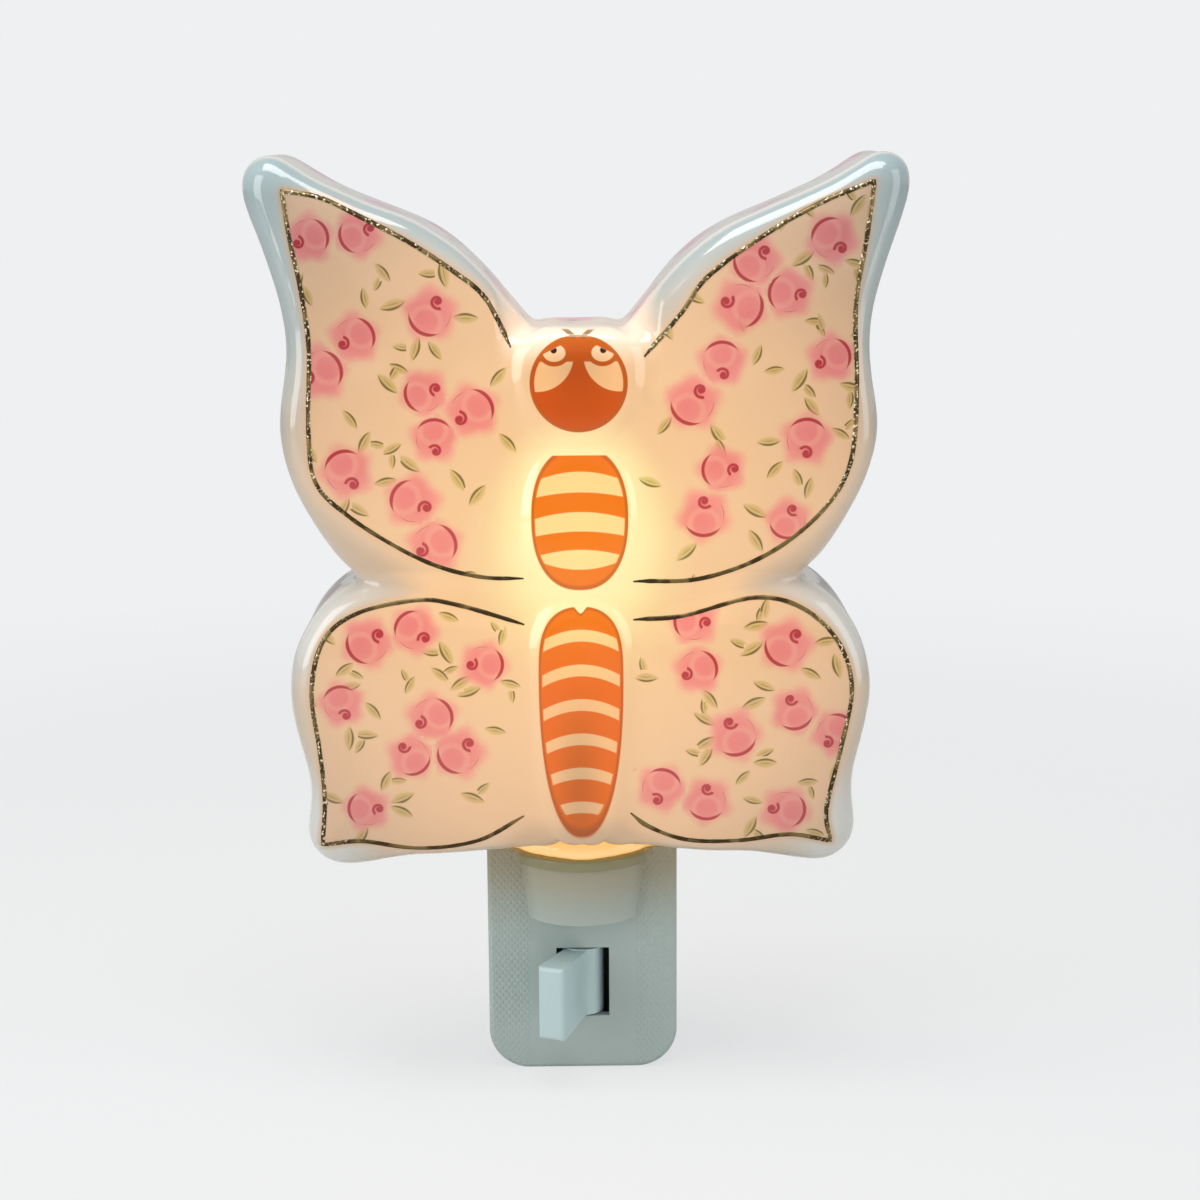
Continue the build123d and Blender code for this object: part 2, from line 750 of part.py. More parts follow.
with BuildPart() as bulb_stem:
    stem_flare_radius = bulb_neck_radius - bulb_glass_wall - slip_fit
    with BuildSketch(lamp_plane):
        with BuildLine():
            Polyline(
                (0, glass_foot),
                (stem_flare_radius, glass_foot),
                (stem_radius, glass_foot + stem_flare_height),
                (stem_radius, stem_top),
                (0, stem_top),
                close=True,
            )
        make_face()
    revolve(axis=lamp_axis)
bulb_stem.part.label = "bulb_stem"
export_step(bulb_stem.part, "parts/bulb_stem.step")

with BuildPart() as bulb_leads:
    with BuildLine(lamp_plane) as lead_route:
        FilletPolyline(
            (lead_pitch / 2, stem_top),
            (lead_pitch / 2, stem_top + lead_straight),
            (lead_spread / 2, lead_top),
            radius=lead_bend_radius,
        )
    with BuildSketch(Plane.XY.offset(stem_top)):
        with Locations((lead_pitch / 2, -lamp_depth)):
            Circle(lead_radius)
    sweep(path=lead_route.wire())
    mirror(about=Plane.YZ)
bulb_leads.part.label = "bulb_leads"
export_step(bulb_leads.part, "parts/bulb_leads.step")

with BuildPart() as bulb_filament:
    filament_foot = lead_top + lead_radius + filament_radius
    with BuildLine(lamp_plane) as filament_route:
        ThreePointArc(
            (-lead_spread / 2, filament_foot),
            (0, filament_foot + filament_arch),
            (lead_spread / 2, filament_foot),
        )
    with BuildSketch(filament_route.wire() ^ 0):
        Circle(filament_radius)
    sweep(path=filament_route.wire())
bulb_filament.part.label = "bulb_filament"
export_step(bulb_filament.part, "parts/bulb_filament.step")

# Porcelain shade: puffed wings and body segments, hollow behind, with a bridge across its foot
head = body_outline(head_shares)
thorax = body_outline(thorax_shares)
abdomen = body_outline(abdomen_shares)
wing_shares = (upper_wing_shares, lower_wing_shares)
wing_outlines = [smooth_outline(share_points(shares)) for shares in wing_shares]
wing_hollows = [wing_hollow(shares) for shares in wing_shares]
wing_lobes = [puffed_lobe(wing, shade_front_depth, wing_edge_radius) for wing in wing_outlines]
body_front_depth = shade_front_depth + body_relief
body_lobes = [puffed_lobe(segment, body_front_depth, body_edge_radius) for segment in (head, thorax, abdomen)]

with BuildPart() as porcelain_shade:
    for lobe in wing_lobes:
        add(lobe)
    mirror(about=Plane.YZ)
    for lobe in body_lobes:
        add(lobe)
    with BuildSketch(Plane.XZ.offset(shade_rear_depth - overrun)):
        for hollow in wing_hollows:
            add(hollow)
        with Locations((0, shade_foot + waist_rise_share * shade_height)):
            Rectangle(waist_width, waist_height)
        mirror(about=Plane.YZ)
        with Locations((0, base_top)):
            Rectangle(core_width, core_height, align=(Align.CENTER, Align.MIN))
            Rectangle(foot_cut_width, foot_cut_height, align=(Align.CENTER, Align.MIN))
    extrude(amount=shade_front_depth - shade_wall - shade_rear_depth + overrun, mode=Mode.SUBTRACT)
    with BuildSketch(Plane.XY.offset(base_top)):
        with Locations((0, -(base_depth + shade_rear_depth) / 2)):
            Rectangle(bridge_width, base_depth - shade_rear_depth)
        with Locations((0, -lamp_depth)):
            Circle(shelf_radius - bridge_front_gap)
            Circle(tube_radius + air_gap, mode=Mode.SUBTRACT)
    extrude(amount=bridge_thickness)
porcelain_shade.part.label = "porcelain_shade"
export_step(porcelain_shade.part, "parts/porcelain_shade.step")
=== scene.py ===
import bmesh
import bpy
import math
import random

import numpy as np
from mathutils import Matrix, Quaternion, Vector, noise
from mathutils.bvhtree import BVHTree
from mathutils.kdtree import KDTree


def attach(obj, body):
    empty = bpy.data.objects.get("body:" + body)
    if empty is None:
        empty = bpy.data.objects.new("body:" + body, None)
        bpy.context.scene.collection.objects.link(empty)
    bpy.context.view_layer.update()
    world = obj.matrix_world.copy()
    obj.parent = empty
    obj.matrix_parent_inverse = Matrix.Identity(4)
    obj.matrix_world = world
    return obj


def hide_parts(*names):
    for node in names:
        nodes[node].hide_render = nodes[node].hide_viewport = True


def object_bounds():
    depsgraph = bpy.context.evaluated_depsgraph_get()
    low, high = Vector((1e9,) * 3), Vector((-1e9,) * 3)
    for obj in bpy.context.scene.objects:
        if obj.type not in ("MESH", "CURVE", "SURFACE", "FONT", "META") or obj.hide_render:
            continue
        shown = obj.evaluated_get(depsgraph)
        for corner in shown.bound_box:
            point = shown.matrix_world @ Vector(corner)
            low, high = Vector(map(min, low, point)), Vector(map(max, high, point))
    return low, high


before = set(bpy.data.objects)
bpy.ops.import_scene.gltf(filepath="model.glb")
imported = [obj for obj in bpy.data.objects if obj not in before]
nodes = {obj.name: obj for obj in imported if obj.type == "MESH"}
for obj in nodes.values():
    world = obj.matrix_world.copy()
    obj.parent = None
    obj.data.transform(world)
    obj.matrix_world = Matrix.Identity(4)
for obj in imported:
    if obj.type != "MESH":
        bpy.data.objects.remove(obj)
cadLow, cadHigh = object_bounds()  # the box round the CAD pieces
mm = 0.001
print("frame loaded:", len(nodes), "nodes")


# shader maths: a socket that adds a Math node whenever it is used in a sum
class Value:
    def __init__(self, finish, socket):
        self.finish = finish
        self.socket = socket

    def maths(self, operation, *others):
        return self.finish.maths(operation, self, *others)

    def __add__(self, other):
        return self.maths("ADD", other)

    def __sub__(self, other):
        return self.maths("SUBTRACT", other)

    def __rsub__(self, other):
        return self.finish.maths("SUBTRACT", other, self)

    def __mul__(self, other):
        return self.maths("MULTIPLY", other)

    def __truediv__(self, other):
        return self.maths("DIVIDE", other)

    def __pow__(self, other):
        return self.maths("POWER", other)

    def __mod__(self, other):
        return self.maths("FLOORED_MODULO", other)

    def __abs__(self):
        return self.maths("ABSOLUTE")

    __radd__ = __add__
    __rmul__ = __mul__


# one node tree and the ways to add to it
class Nodes:
    def __init__(self, tree):
        self.tree = tree

    def node(self, kind, settings=None, sockets=None, out=0):
        made = self.tree.nodes.new(kind)
        for key, value in (settings or {}).items():
            if key == "stops":
                self.fillRamp(made.color_ramp, value)
            else:
                setattr(made, key, value)
        for key, value in (sockets or {}).items():
            self.plug(made.inputs[key], value)
        return Value(self, made.outputs[out])

    def plug(self, socket, value):
        if isinstance(value, Value):
            self.tree.links.new(value.socket, socket)
        else:
            socket.default_value = value

    def fillRamp(self, ramp, stops):
        while len(ramp.elements) < len(stops):
            ramp.elements.new(1.0)
        for element, (place, colour) in zip(ramp.elements, stops):
            element.position = place
            element.color = colour

    def maths(self, operation, *values):
        return self.node("ShaderNodeMath", {"operation": operation}, dict(enumerate(values)))

    def most(self, first, *others):
        for other in others:
            first = self.maths("MAXIMUM", first, other)
        return first

    def ease(self, value, start, end):
        # 0 at start and 1 at end, eased between them
        ends = {"Value": value, "From Min": start, "From Max": end}
        return self.node("ShaderNodeMapRange", {"interpolation_type": "SMOOTHSTEP"}, ends)

    def mix(self, share, first, second):
        return self.node("ShaderNodeMix", {"data_type": "RGBA"}, {0: share, 6: first, 7: second}, 2)

    def tint(self, first, second):
        # one colour seen through another
        settings = {"data_type": "RGBA", "blend_type": "MULTIPLY"}
        return self.node("ShaderNodeMix", settings, {0: 1.0, 6: first, 7: second}, 2)

    def scaled(self, colour, amount):
        return self.node("ShaderNodeVectorMath", {"operation": "SCALE"}, {0: colour, "Scale": amount})

    def stored(self, name):
        # a value kept on the mesh
        return self.node("ShaderNodeAttribute", {"attribute_name": name}, {}, "Fac")

    def place(self):
        # object coordinates in millimetres
        point = self.node("ShaderNodeTexCoord", out="Object")
        split = [self.node("ShaderNodeSeparateXYZ", {}, {0: point}, axis) for axis in range(3)]
        return [axis / mm for axis in split]

    def speckle(self, size, detail=2.0, distortion=0.0):
        # noise over the surface, with its grain in millimetres
        point = self.node("ShaderNodeTexCoord", out="Object")
        sockets = {"Vector": point, "Scale": 1 / (size * mm), "Detail": detail, "Distortion": distortion}
        return self.node("ShaderNodeTexNoise", {}, sockets)

    def bump(self, height, distance, strength):
        sockets = {"Height": height, "Distance": distance * mm, "Strength": strength}
        return self.node("ShaderNodeBump", {}, sockets)


# one material, with its shader's sockets set or fed by name
class Finish(Nodes):
    def __init__(self, name, **sockets):
        self.material = bpy.data.materials.new(name)
        self.material.use_nodes = True
        super().__init__(self.material.node_tree)
        self.shader = self.tree.nodes["Principled BSDF"]
        self.feed(**sockets)

    def feed(self, **sockets):
        for key, value in sockets.items():
            self.plug(self.shader.inputs[key.replace("_", " ")], value)


def paint(red, green, blue):
    # screen colour of 0 to 255 as the linear colour that a shader takes
    def linear(level):
        level = level / 255
        return level / 12.92 if level < 0.04045 else ((level + 0.055) / 1.055) ** 2.4

    return (linear(red), linear(green), linear(blue), 1.0)


def darker(colour, share):
    return [c * share for c in colour[:3]] + [1.0]


def length2(first, second):
    return (first * first + second * second) ** 0.5


# camera, at the photograph's viewing angle
camera = {
    "place": (-2.4, -425.0, 146.9),
    "aim": (3.6, -25.0, 65.7),
    "roll": -0.36,
    "focalPixels": 2275,
    "imagePixels": 1200,
    "sensor": 36.0,
    "clipStart": 10.0,
}


def setCamera():
    data = bpy.data.cameras.new("camera")
    data.sensor_width = camera["sensor"]
    data.lens = camera["sensor"] * camera["focalPixels"] / camera["imagePixels"]
    data.clip_start = camera["clipStart"] * mm
    stand = bpy.data.objects.new("camera", data)
    bpy.context.scene.collection.objects.link(stand)
    stand.location = Vector(camera["place"]) * mm
    look = Vector(camera["aim"]) * mm - stand.location
    stand.rotation_mode = "QUATERNION"
    turn = Quaternion((0, 0, 1), math.radians(camera["roll"]))
    stand.rotation_quaternion = look.to_track_quat("-Z", "Y") @ turn
    bpy.context.scene.camera = stand


studio = {
    "floorHalf": 3.0,
    "floorColour": (0.80, 0.80, 0.79, 1.0),
    "floorRoughness": 0.8,
    "worldColour": (0.86, 0.87, 0.88, 1.0),
    "worldLight": 0.40,
    # share of the backdrop that each kind of ray sees, and that the floor shows near the object
    "backdropSeen": {"Is Camera Ray": 1.0, "Is Transmission Ray": 1.0, "Is Glossy Ray": 0.35},
    "backdropShare": 0.75,
    "floorFade": (480.0, 120.0),
    "lampPower": 0.02,
    "lampColour": (1.0, 0.72, 0.38),
    "lampPlace": (0, -18, 80),
    "lampRadius": 4.0,
    # name, place and aim in millimetres, size in metres, power in watts
    "boxes": [
        ("topBox", (-60, -130, 560), (0, -20, 60), (0.44, 0.26), 2.0),
        ("leftBox", (-520, -330, 240), (0, -20, 60), (0.36, 0.50), 1.7),
        ("rightBox", (520, -260, 200), (0, -20, 60), (0.36, 0.50), 1.0),
    ],
}


def floorFinish():
    # the camera sees mostly the plain backdrop colour, and nothing else far from the object
    finish = Finish("floorFinish", Roughness=studio["floorRoughness"], Base_Color=studio["floorColour"])
    plain = finish.node("ShaderNodeEmission", {}, {"Color": studio["worldColour"]})
    x, y = finish.place()[:2]
    near = finish.ease(length2(x, y), *studio["floorFade"])
    seen = finish.node("ShaderNodeLightPath", out="Is Camera Ray")
    seen = seen * (1 - near * (1 - studio["backdropShare"]))
    shaders = {0: seen, 1: Value(finish, finish.shader.outputs[0]), 2: plain}
    mixed = finish.node("ShaderNodeMixShader", {}, shaders)
    finish.plug(finish.tree.nodes["Material Output"].inputs["Surface"], mixed)
    return finish


def setStudio():
    scene = bpy.context.scene
    scene.view_settings.view_transform = "Standard"
    bm = bmesh.new()
    bmesh.ops.create_grid(bm, x_segments=1, y_segments=1, size=studio["floorHalf"])
    bmesh.ops.translate(bm, verts=bm.verts, vec=(0, 0, cadLow.z))
    floor = addPiece("floor", bm)
    floor.data.materials.append(floorFinish().material)
    world = bpy.data.worlds.new("studioWorld")
    scene.world = world
    world.use_nodes = True
    sky = Nodes(world.node_tree)
    back = sky.tree.nodes["Background"]
    sky.plug(back.inputs["Color"], studio["worldColour"])
    # the camera and glass see the pale backdrop, gloss a part of it; the object gets the softer light
    seen = 0.0
    for kind, share in studio["backdropSeen"].items():
        seen = sky.most(sky.node("ShaderNodeLightPath", out=kind) * share, seen)
    sky.plug(back.inputs["Strength"], studio["worldLight"] + seen * (1 - studio["worldLight"]))
    for name, place, aim, size, power in studio["boxes"]:
        light = bpy.data.lights.new(name, "AREA")
        light.shape = "RECTANGLE"
        light.size, light.size_y = size
        light.energy = power
        stand = bpy.data.objects.new(name, light)
        scene.collection.objects.link(stand)
        stand.location = Vector(place) * mm
        stand.rotation_euler = (Vector(aim) - Vector(place)).to_track_quat("-Z", "Y").to_euler()
    lamp = bpy.data.lights.new("lampLight", "POINT")
    lamp.energy = studio["lampPower"]
    lamp.color = studio["lampColour"]
    lamp.shadow_soft_size = studio["lampRadius"] * mm
    stand = bpy.data.objects.new("lampLight", lamp)
    scene.collection.objects.link(stand)
    stand.location = Vector(studio["lampPlace"]) * mm
    # the hot wire is what shows in the glass, not the light itself
    stand.visible_glossy = False
    stand.visible_transmission = False
    print("studio set")


def addPiece(name, bm):
    mesh = bpy.data.meshes.new(name)
    bm.to_mesh(mesh)
    bm.free()
    piece = bpy.data.objects.new(name, mesh)
    bpy.context.scene.collection.objects.link(piece)
    return piece


# carried-over pieces: merged, with smooth curves and small rounded edges
carried = {
    "mergeGap": 0.002,
    "smoothAngle": 32.0,
    "edgeAngle": 35.0,
    "edgeSegments": 2,
}


def mergedCopy(node):
    bm = bmesh.new()
    bm.from_mesh(nodes[node].data)
    bmesh.ops.remove_doubles(bm, verts=bm.verts, dist=carried["mergeGap"] * mm)
    return bm


def polishedPiece(node, finish, body, edge):
    words = node.split("_")
    piece = addPiece(words[0] + "".join(word.title() for word in words[1:]), mergedCopy(node))
    piece.data.shade_smooth()
    piece.data.set_sharp_from_angle(angle=math.radians(carried["smoothAngle"]))
    if edge:
        bevel = piece.modifiers.new("edges", "BEVEL")
        bevel.width = edge * mm
        bevel.segments = carried["edgeSegments"]
        bevel.limit_method = "ANGLE"
        bevel.angle_limit = math.radians(carried["edgeAngle"])
        even = piece.modifiers.new("even", "WEIGHTED_NORMAL")
        even.keep_sharp = True
    piece.data.materials.append(finish.material)
    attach(piece, body)
    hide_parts(node)


# porcelain shade, in millimetres; a pair of values is where a change starts and ends
shade = {
    "voxel": 0.72,
    "softenRounds": 10,
    "softenShare": 0.5,
    "outlineStep": 0.5,
    "frontY": -37.0,
    "rearY": -12.0,
    "bodyY": -39.0,
    # the body's segments, melted into the wings
    "bodyHalf": 13.0,
    "bodyReach": 4.0,
    "bodyRounds": 24,
    # the lower edge of the front beside the abdomen, drawn down a little
    "skirtDrop": 1.6,
    "skirtAt": 4.5,
    "skirtHalf": 3.8,
    "skirtRise": (34.0, 27.0),
    "skirtDepth": (-31.0, -35.0),
    # wing fronts, crowned like a pillow; their roots lie halfway from the line's ends to the middle
    "crown": 1.3,
    "crownReach": 8.0,
    "rootShare": 0.5,
    # rims, rolled back from the gilded line to the edge
    "rimWidth": 7.0,
    "rimDrop": 1.5,
    "rimOut": (11.0, 19.0),
    "rimDepth": (-22.0, -33.0),
    # top of the head, domed
    "headFoot": 113.9,
    "headRise": 2.7,
    "headMost": 1.2,
    "headDome": 3.4,
    "headRound": 0.016,
    "headOut": (14.0, 9.0),
    # waviness of the hand-cast glaze
    "waviness": 0.22,
    "wavinessSize": 9.0,
    # which side of the hollow a point is on
    "glanceLift": 1.2,
    "borderRounds": 6,
    "borderShare": 0.6,
    # the side walls in the print's plan
    "wallPlan": 500.0,
    "wallFacing": 0.5,
    "wallInset": 2.0,
    "rearFacing": 0.99,
    "rearGap": 0.01,
    "footLean": 0.01,
}


def evenly(points, step):
    # the same line with points a fixed step apart
    places = np.array(points)
    along = np.concatenate([[0], np.cumsum(np.linalg.norm(np.diff(places, axis=0), axis=1))])
    at = np.linspace(0, along[-1], int(along[-1] / step) + 1)
    return np.stack([np.interp(at, along, places[:, axis]) for axis in (0, 1)], 1)


def insideLoop(points, loop):
    # crossing test for many points at once
    inside = np.zeros(len(points), bool)
    for (x0, z0), (x1, z1) in zip(loop, np.roll(loop, -1, axis=0)):
        spans = (z0 > points[:, 1]) != (z1 > points[:, 1])
        with np.errstate(divide="ignore", invalid="ignore"):
            cut = x0 + (points[:, 1] - z0) * (x1 - x0) / (z1 - z0)
        inside ^= spans & (points[:, 0] < cut)
    return inside


def ramp(values, start, end):
    # 0 at start and 1 at end
    return np.clip((values - start) / (end - start), 0, 1)


def modelShade(lines):
    piece = addPiece("porcelainShade", mergedCopy("porcelain_shade"))
    remesh = piece.modifiers.new("remesh", "REMESH")
    remesh.mode = "VOXEL"
    remesh.voxel_size = shade["voxel"] * mm
    soften = piece.modifiers.new("soften", "SMOOTH")
    soften.factor = shade["softenShare"]
    soften.iterations = shade["softenRounds"]
    solid = bpy.data.meshes.new_from_object(piece.evaluated_get(bpy.context.evaluated_depsgraph_get()))
    piece.modifiers.clear()
    piece.data = solid
    piece.data.name = "porcelainShade"
    blendBody(solid)
    plan = shapeShade(solid, lines)
    for name, motifs in zip(("rose", "leaf"), printMotifs()):
        placeMotifs(solid, plan, name, motifs)
    solid.shade_smooth()
    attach(piece, "base")
    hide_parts("porcelain_shade")
    return piece


def blendBody(mesh):
    # melts the body's segments into the wings, as thick glaze does
    bm = bmesh.new()
    bm.from_mesh(mesh)
    front = (shade["frontY"] + shade["bodyReach"]) * mm
    soft = [v for v in bm.verts if abs(v.co.x) < shade["bodyHalf"] * mm and v.co.y < front]
    for _ in range(shade["bodyRounds"]):
        bmesh.ops.smooth_vert(bm, verts=soft, factor=shade["softenShare"], use_axis_y=True)
    bm.to_mesh(mesh)
    bm.free()


def readVectors(mesh, key):
    values = np.empty(len(mesh.vertices) * 3, np.float32)
    mesh.vertices.foreach_get(key, values)
    return values.reshape(-1, 3).astype(float)


def finderFor(points):
    finder = KDTree(len(points))
    for i, (x, z) in enumerate(points):
        finder.insert((x, z, 0), i)
    finder.balance()
    return finder


def seenFromRoom(mesh):
    # 1 on the glazed outside, 0 on the hollow side, with the border between them smoothed
    tree = BVHTree.FromPolygons([v.co for v in mesh.vertices], [p.vertices for p in mesh.polygons])
    toRoom = Vector((0, -1, 0))
    outer = np.ones(len(mesh.vertices))
    for i, vertex in enumerate(mesh.vertices):
        if tree.ray_cast(vertex.co + vertex.normal * (shade["glanceLift"] * mm), toRoom)[0] is not None:
            outer[i] = 0.0
    ends = np.array([e.vertices[:] for e in mesh.edges])
    links = np.bincount(ends.ravel(), minlength=len(outer))
    share = shade["borderShare"]
    for _ in range(shade["borderRounds"]):
        around = np.bincount(ends[:, 0], outer[ends[:, 1]], len(outer))
        around += np.bincount(ends[:, 1], outer[ends[:, 0]], len(outer))
        outer = (1 - share) * outer + share * around / links
    return outer


def rearOutline():
    # the rear rim's border in the front view, as one long line that starts at the foot
    bm = mergedCopy("porcelain_shade")
    bm.normal_update()
    rear, gap = shade["rearY"] * mm, shade["rearGap"] * mm
    flat = [f for f in bm.faces if f.normal.y > shade["rearFacing"]]
    rim = {f for f in flat if abs(f.calc_center_median().y - rear) < gap}
    left = [e for e in bm.edges if sum(face in rim for face in e.link_faces) == 1]
    loops = []
    while left:
        edge = left.pop(0)
        at = edge.verts[1]
        loop = [edge.verts[0].co.xz / mm, at.co.xz / mm]
        while True:
            following = next((e for e in at.link_edges if e in left), None)
            if following is None:
                break
            left.remove(following)
            at = following.other_vert(at)
            loop.append(at.co.xz / mm)
        loops.append(np.array(loop))
    bm.free()
    widest = max(loops, key=lambda loop: np.ptp(loop[:, 0]))
    # the same way round in every run, from the right side of the foot
    x, z = widest.T
    if np.sum(x * np.roll(z, -1) - z * np.roll(x, -1)) < 0:
        widest = widest[::-1]
    x, z = widest.T
    start = np.argmin(np.abs(x) + z - shade["footLean"] * x)
    return evenly(np.roll(widest, -start, axis=0), shade["outlineStep"])


def shapeShade(mesh, lines):
    # shapes the soft forms of the glaze, and keeps on each point what the print needs to know
    places = readVectors(mesh, "co") / mm
    normals = readVectors(mesh, "normal")
    beside = np.exp(-((np.abs(places[:, 0]) - shade["skirtAt"]) / shade["skirtHalf"]) ** 2)
    beside *= ramp(places[:, 2], *shade["skirtRise"]) * ramp(places[:, 1], *shade["skirtDepth"])
    places[:, 2] -= shade["skirtDrop"] * beside
    flat = places[:, [0, 2]]
    outer = seenFromRoom(mesh)
    # signed distance to the wing's gilded line, more than 0 inside it
    depth = np.full(len(places), -np.inf)
    root = (shade["rootShare"], 1)
    for line in lines.values():
        closing = [line, line[-1:] * root, line[:1] * root, line[:1]]
        rim = evenly(np.concatenate(closing), shade["outlineStep"])
        finder = finderFor(rim)
        away = np.array([finder.find((x, z, 0))[2] for x, z in flat])
        depth = np.maximum(depth, np.where(insideLoop(flat, rim), away, -away))
    # crowned wings
    facing = np.clip(-normals[:, 1], 0, 1)
    rise = 1 - np.exp(-np.clip(depth, 0, None) / shade["crownReach"])
    lift = -shade["crown"] * rise * facing
    # rolled rims and domed head
    fromBody = np.abs(flat[:, 0])
    roll = ramp(-depth, 0, shade["rimWidth"]) ** 2 * ramp(fromBody, *shade["rimOut"])
    above = flat[:, 1] + shade["headRound"] * fromBody ** 2 - shade["headFoot"]
    dome = np.clip(above / shade["headRise"], 0, shade["headMost"]) ** 2
    dome *= ramp(fromBody, *shade["headOut"])
    nearFront = ramp(places[:, 1], *shade["rimDepth"])
    lift += nearFront * (shade["rimDrop"] * roll + shade["headDome"] * dome)
    places[:, 1] += outer * lift
    wave = np.array([noise.noise(Vector(p) / shade["wavinessSize"]) for p in places])
    places -= normals * (outer * wave * shade["waviness"])[:, None]
    mesh.vertices.foreach_set("co", (places * mm).astype(np.float32).ravel())
    mesh.update()
    facing = np.clip(-readVectors(mesh, "normal")[:, 1], 0, 1)
    # the print's own flat plan: the front view, and the side walls as one long strip beside it
    outline = finderFor(rearOutline())
    plan = flat.copy()
    onWall = (facing < shade["wallFacing"]) & (places[:, 1] > shade["frontY"] + shade["wallInset"])
    for i in np.flatnonzero(onWall):
        along = outline.find((flat[i, 0], flat[i, 1], 0))[1] * shade["outlineStep"]
        plan[i] = shade["wallPlan"] + along, places[i, 1]
    addAttribute(mesh, "printAcross", plan[:, 0])
    addAttribute(mesh, "printUp", plan[:, 1])
    addAttribute(mesh, "fieldDepth", depth)
    addAttribute(mesh, "outerSide", outer)
    addAttribute(mesh, "facing", facing)
    print("porcelain shaped:", len(places), "points,", int(outer.sum()), "outside")
    return plan


def placeMotifs(mesh, plan, name, motifs):
    # keeps on each face the motif that it lies nearest to, by the motif's own size
    centres = np.array([plan[list(p.vertices)].mean(axis=0) for p in mesh.polygons])
    table = np.array(motifs)
    nearest = np.full(len(centres), np.inf)
    pick = np.zeros(len(centres), int)
    for i, (x, z, turn, size) in enumerate(table):
        away = np.hypot(centres[:, 0] - x, centres[:, 1] - z) / size
        closer = away < nearest
        nearest[closer] = away[closer]
        pick[closer] = i
    for column, part in enumerate(("Across", "Up", "Turn", "Size")):
        addAttribute(mesh, name + part, table[pick, column], "FACE")


def addAttribute(mesh, name, values, domain="POINT"):
    attribute = mesh.attributes.new(name, "FLOAT", domain)
    attribute.data.foreach_set("value", np.asarray(values, np.float32))


# gilded lines, in millimetres
gilding = {
    "seed": 5,
    "width": 0.75,
    "widthPull": 0.3,
    "widthStray": 0.05,
    "taperStart": 0.35,
    "taperStep": 0.12,
    "lift": 0.05,
    "thick": 0.12,
    "sunk": -0.6,
    "glanceY": -80.0,
    "curveSteps": 16,
    # each wing's line, in two runs that meet in a sharp corner
    "lines": {
        "upperRight": [
            [(11.2, 110.4), (17.6, 117.8), (22.0, 123.8), (31.4, 130.6), (41.0, 136.0), (50.0, 139.6)],
            [(50.0, 139.6), (48.9, 130.4), (47.2, 118.9), (47.6, 104.7), (46.6, 91.5), (41.5, 83.0),
             (32.3, 75.9), (21.0, 71.8), (9.2, 71.4)],
        ],
        "upperLeft": [
            [(-11.5, 112.1), (-15.7, 120.4), (-21.0, 125.0), (-28.4, 129.9), (-36.9, 134.4), (-43.2, 137.4),
             (-49.5, 138.6)],
            [(-49.5, 138.6), (-48.5, 130.8), (-46.8, 121.7), (-45.8, 112.0), (-46.3, 98.0), (-45.3, 89.1),
             (-39.9, 83.3), (-31.8, 77.9), (-24.7, 74.4), (-17.0, 72.4), (-9.8, 72.1)],
        ],
        "lowerRight": [
            [(9.2, 64.6), (18.0, 65.2), (30.1, 68.3), (38.5, 66.5), (45.0, 60.4), (47.6, 51.8),
             (45.7, 40.4), (43.4, 30.0), (44.2, 24.0)],
            [(44.2, 24.0), (37.0, 25.3), (28.1, 24.2), (18.9, 24.4), (12.0, 26.9), (8.6, 29.6)],
        ],
        "lowerLeft": [
            [(-9.8, 63.9), (-21.4, 67.5), (-28.4, 68.4), (-38.7, 66.2), (-44.8, 61.4), (-47.2, 52.2),
             (-46.1, 41.5), (-45.5, 32.7), (-46.1, 24.2)],
            [(-46.1, 24.2), (-39.2, 24.9), (-29.0, 23.3), (-18.8, 24.6), (-10.3, 29.2)],
        ],
    },
    # dark worn gold, with painted glints, lighter gold where the lights catch the wings' upper and outer
    # edges
    "metallic": 0.85,
    "grain": (0.5, 3.0),
    "wear": (3.0, 2.0),
    "wearEnds": (0.42, 0.62),
    "dark": (0.06, 0.038, 0.013, 1),
    "gold": (0.22, 0.155, 0.06, 1),
    "paintedGlint": (0.85, 0.76, 0.54, 1),
    "glintUp": (92.0, 108.0),
    "glintOut": (38.0, 45.0),
    "glintGrain": (0.54, 0.66),
    "roughness": (0.28, 0.3),
    "bump": (0.06, 0.8),
}


def curveThrough(points):
    # Catmull-Rom curve through the points, in even steps
    ends = [2 * points[0] - points[1]] + list(points) + [2 * points[-1] - points[-2]]
    path = []
    for a, b, c, d in zip(ends, ends[1:], ends[2:], ends[3:]):
        for t in np.linspace(0, 1, gilding["curveSteps"], endpoint=False):
            bend = (2 * a - 5 * b + 4 * c - d) * t ** 2 + (3 * b - a - 3 * c + d) * t ** 3
            path.append(b + 0.5 * ((c - a) * t + bend))
    path.append(points[-1])
    return evenly(path, shade["outlineStep"])


def wingLines():
    # name of each wing and its gilded line
    lines = {}
    for name, runs in gilding["lines"].items():
        first, second = [curveThrough([np.array(p) for p in run]) for run in runs]
        lines[name] = np.concatenate([first, second[1:]])
    return lines


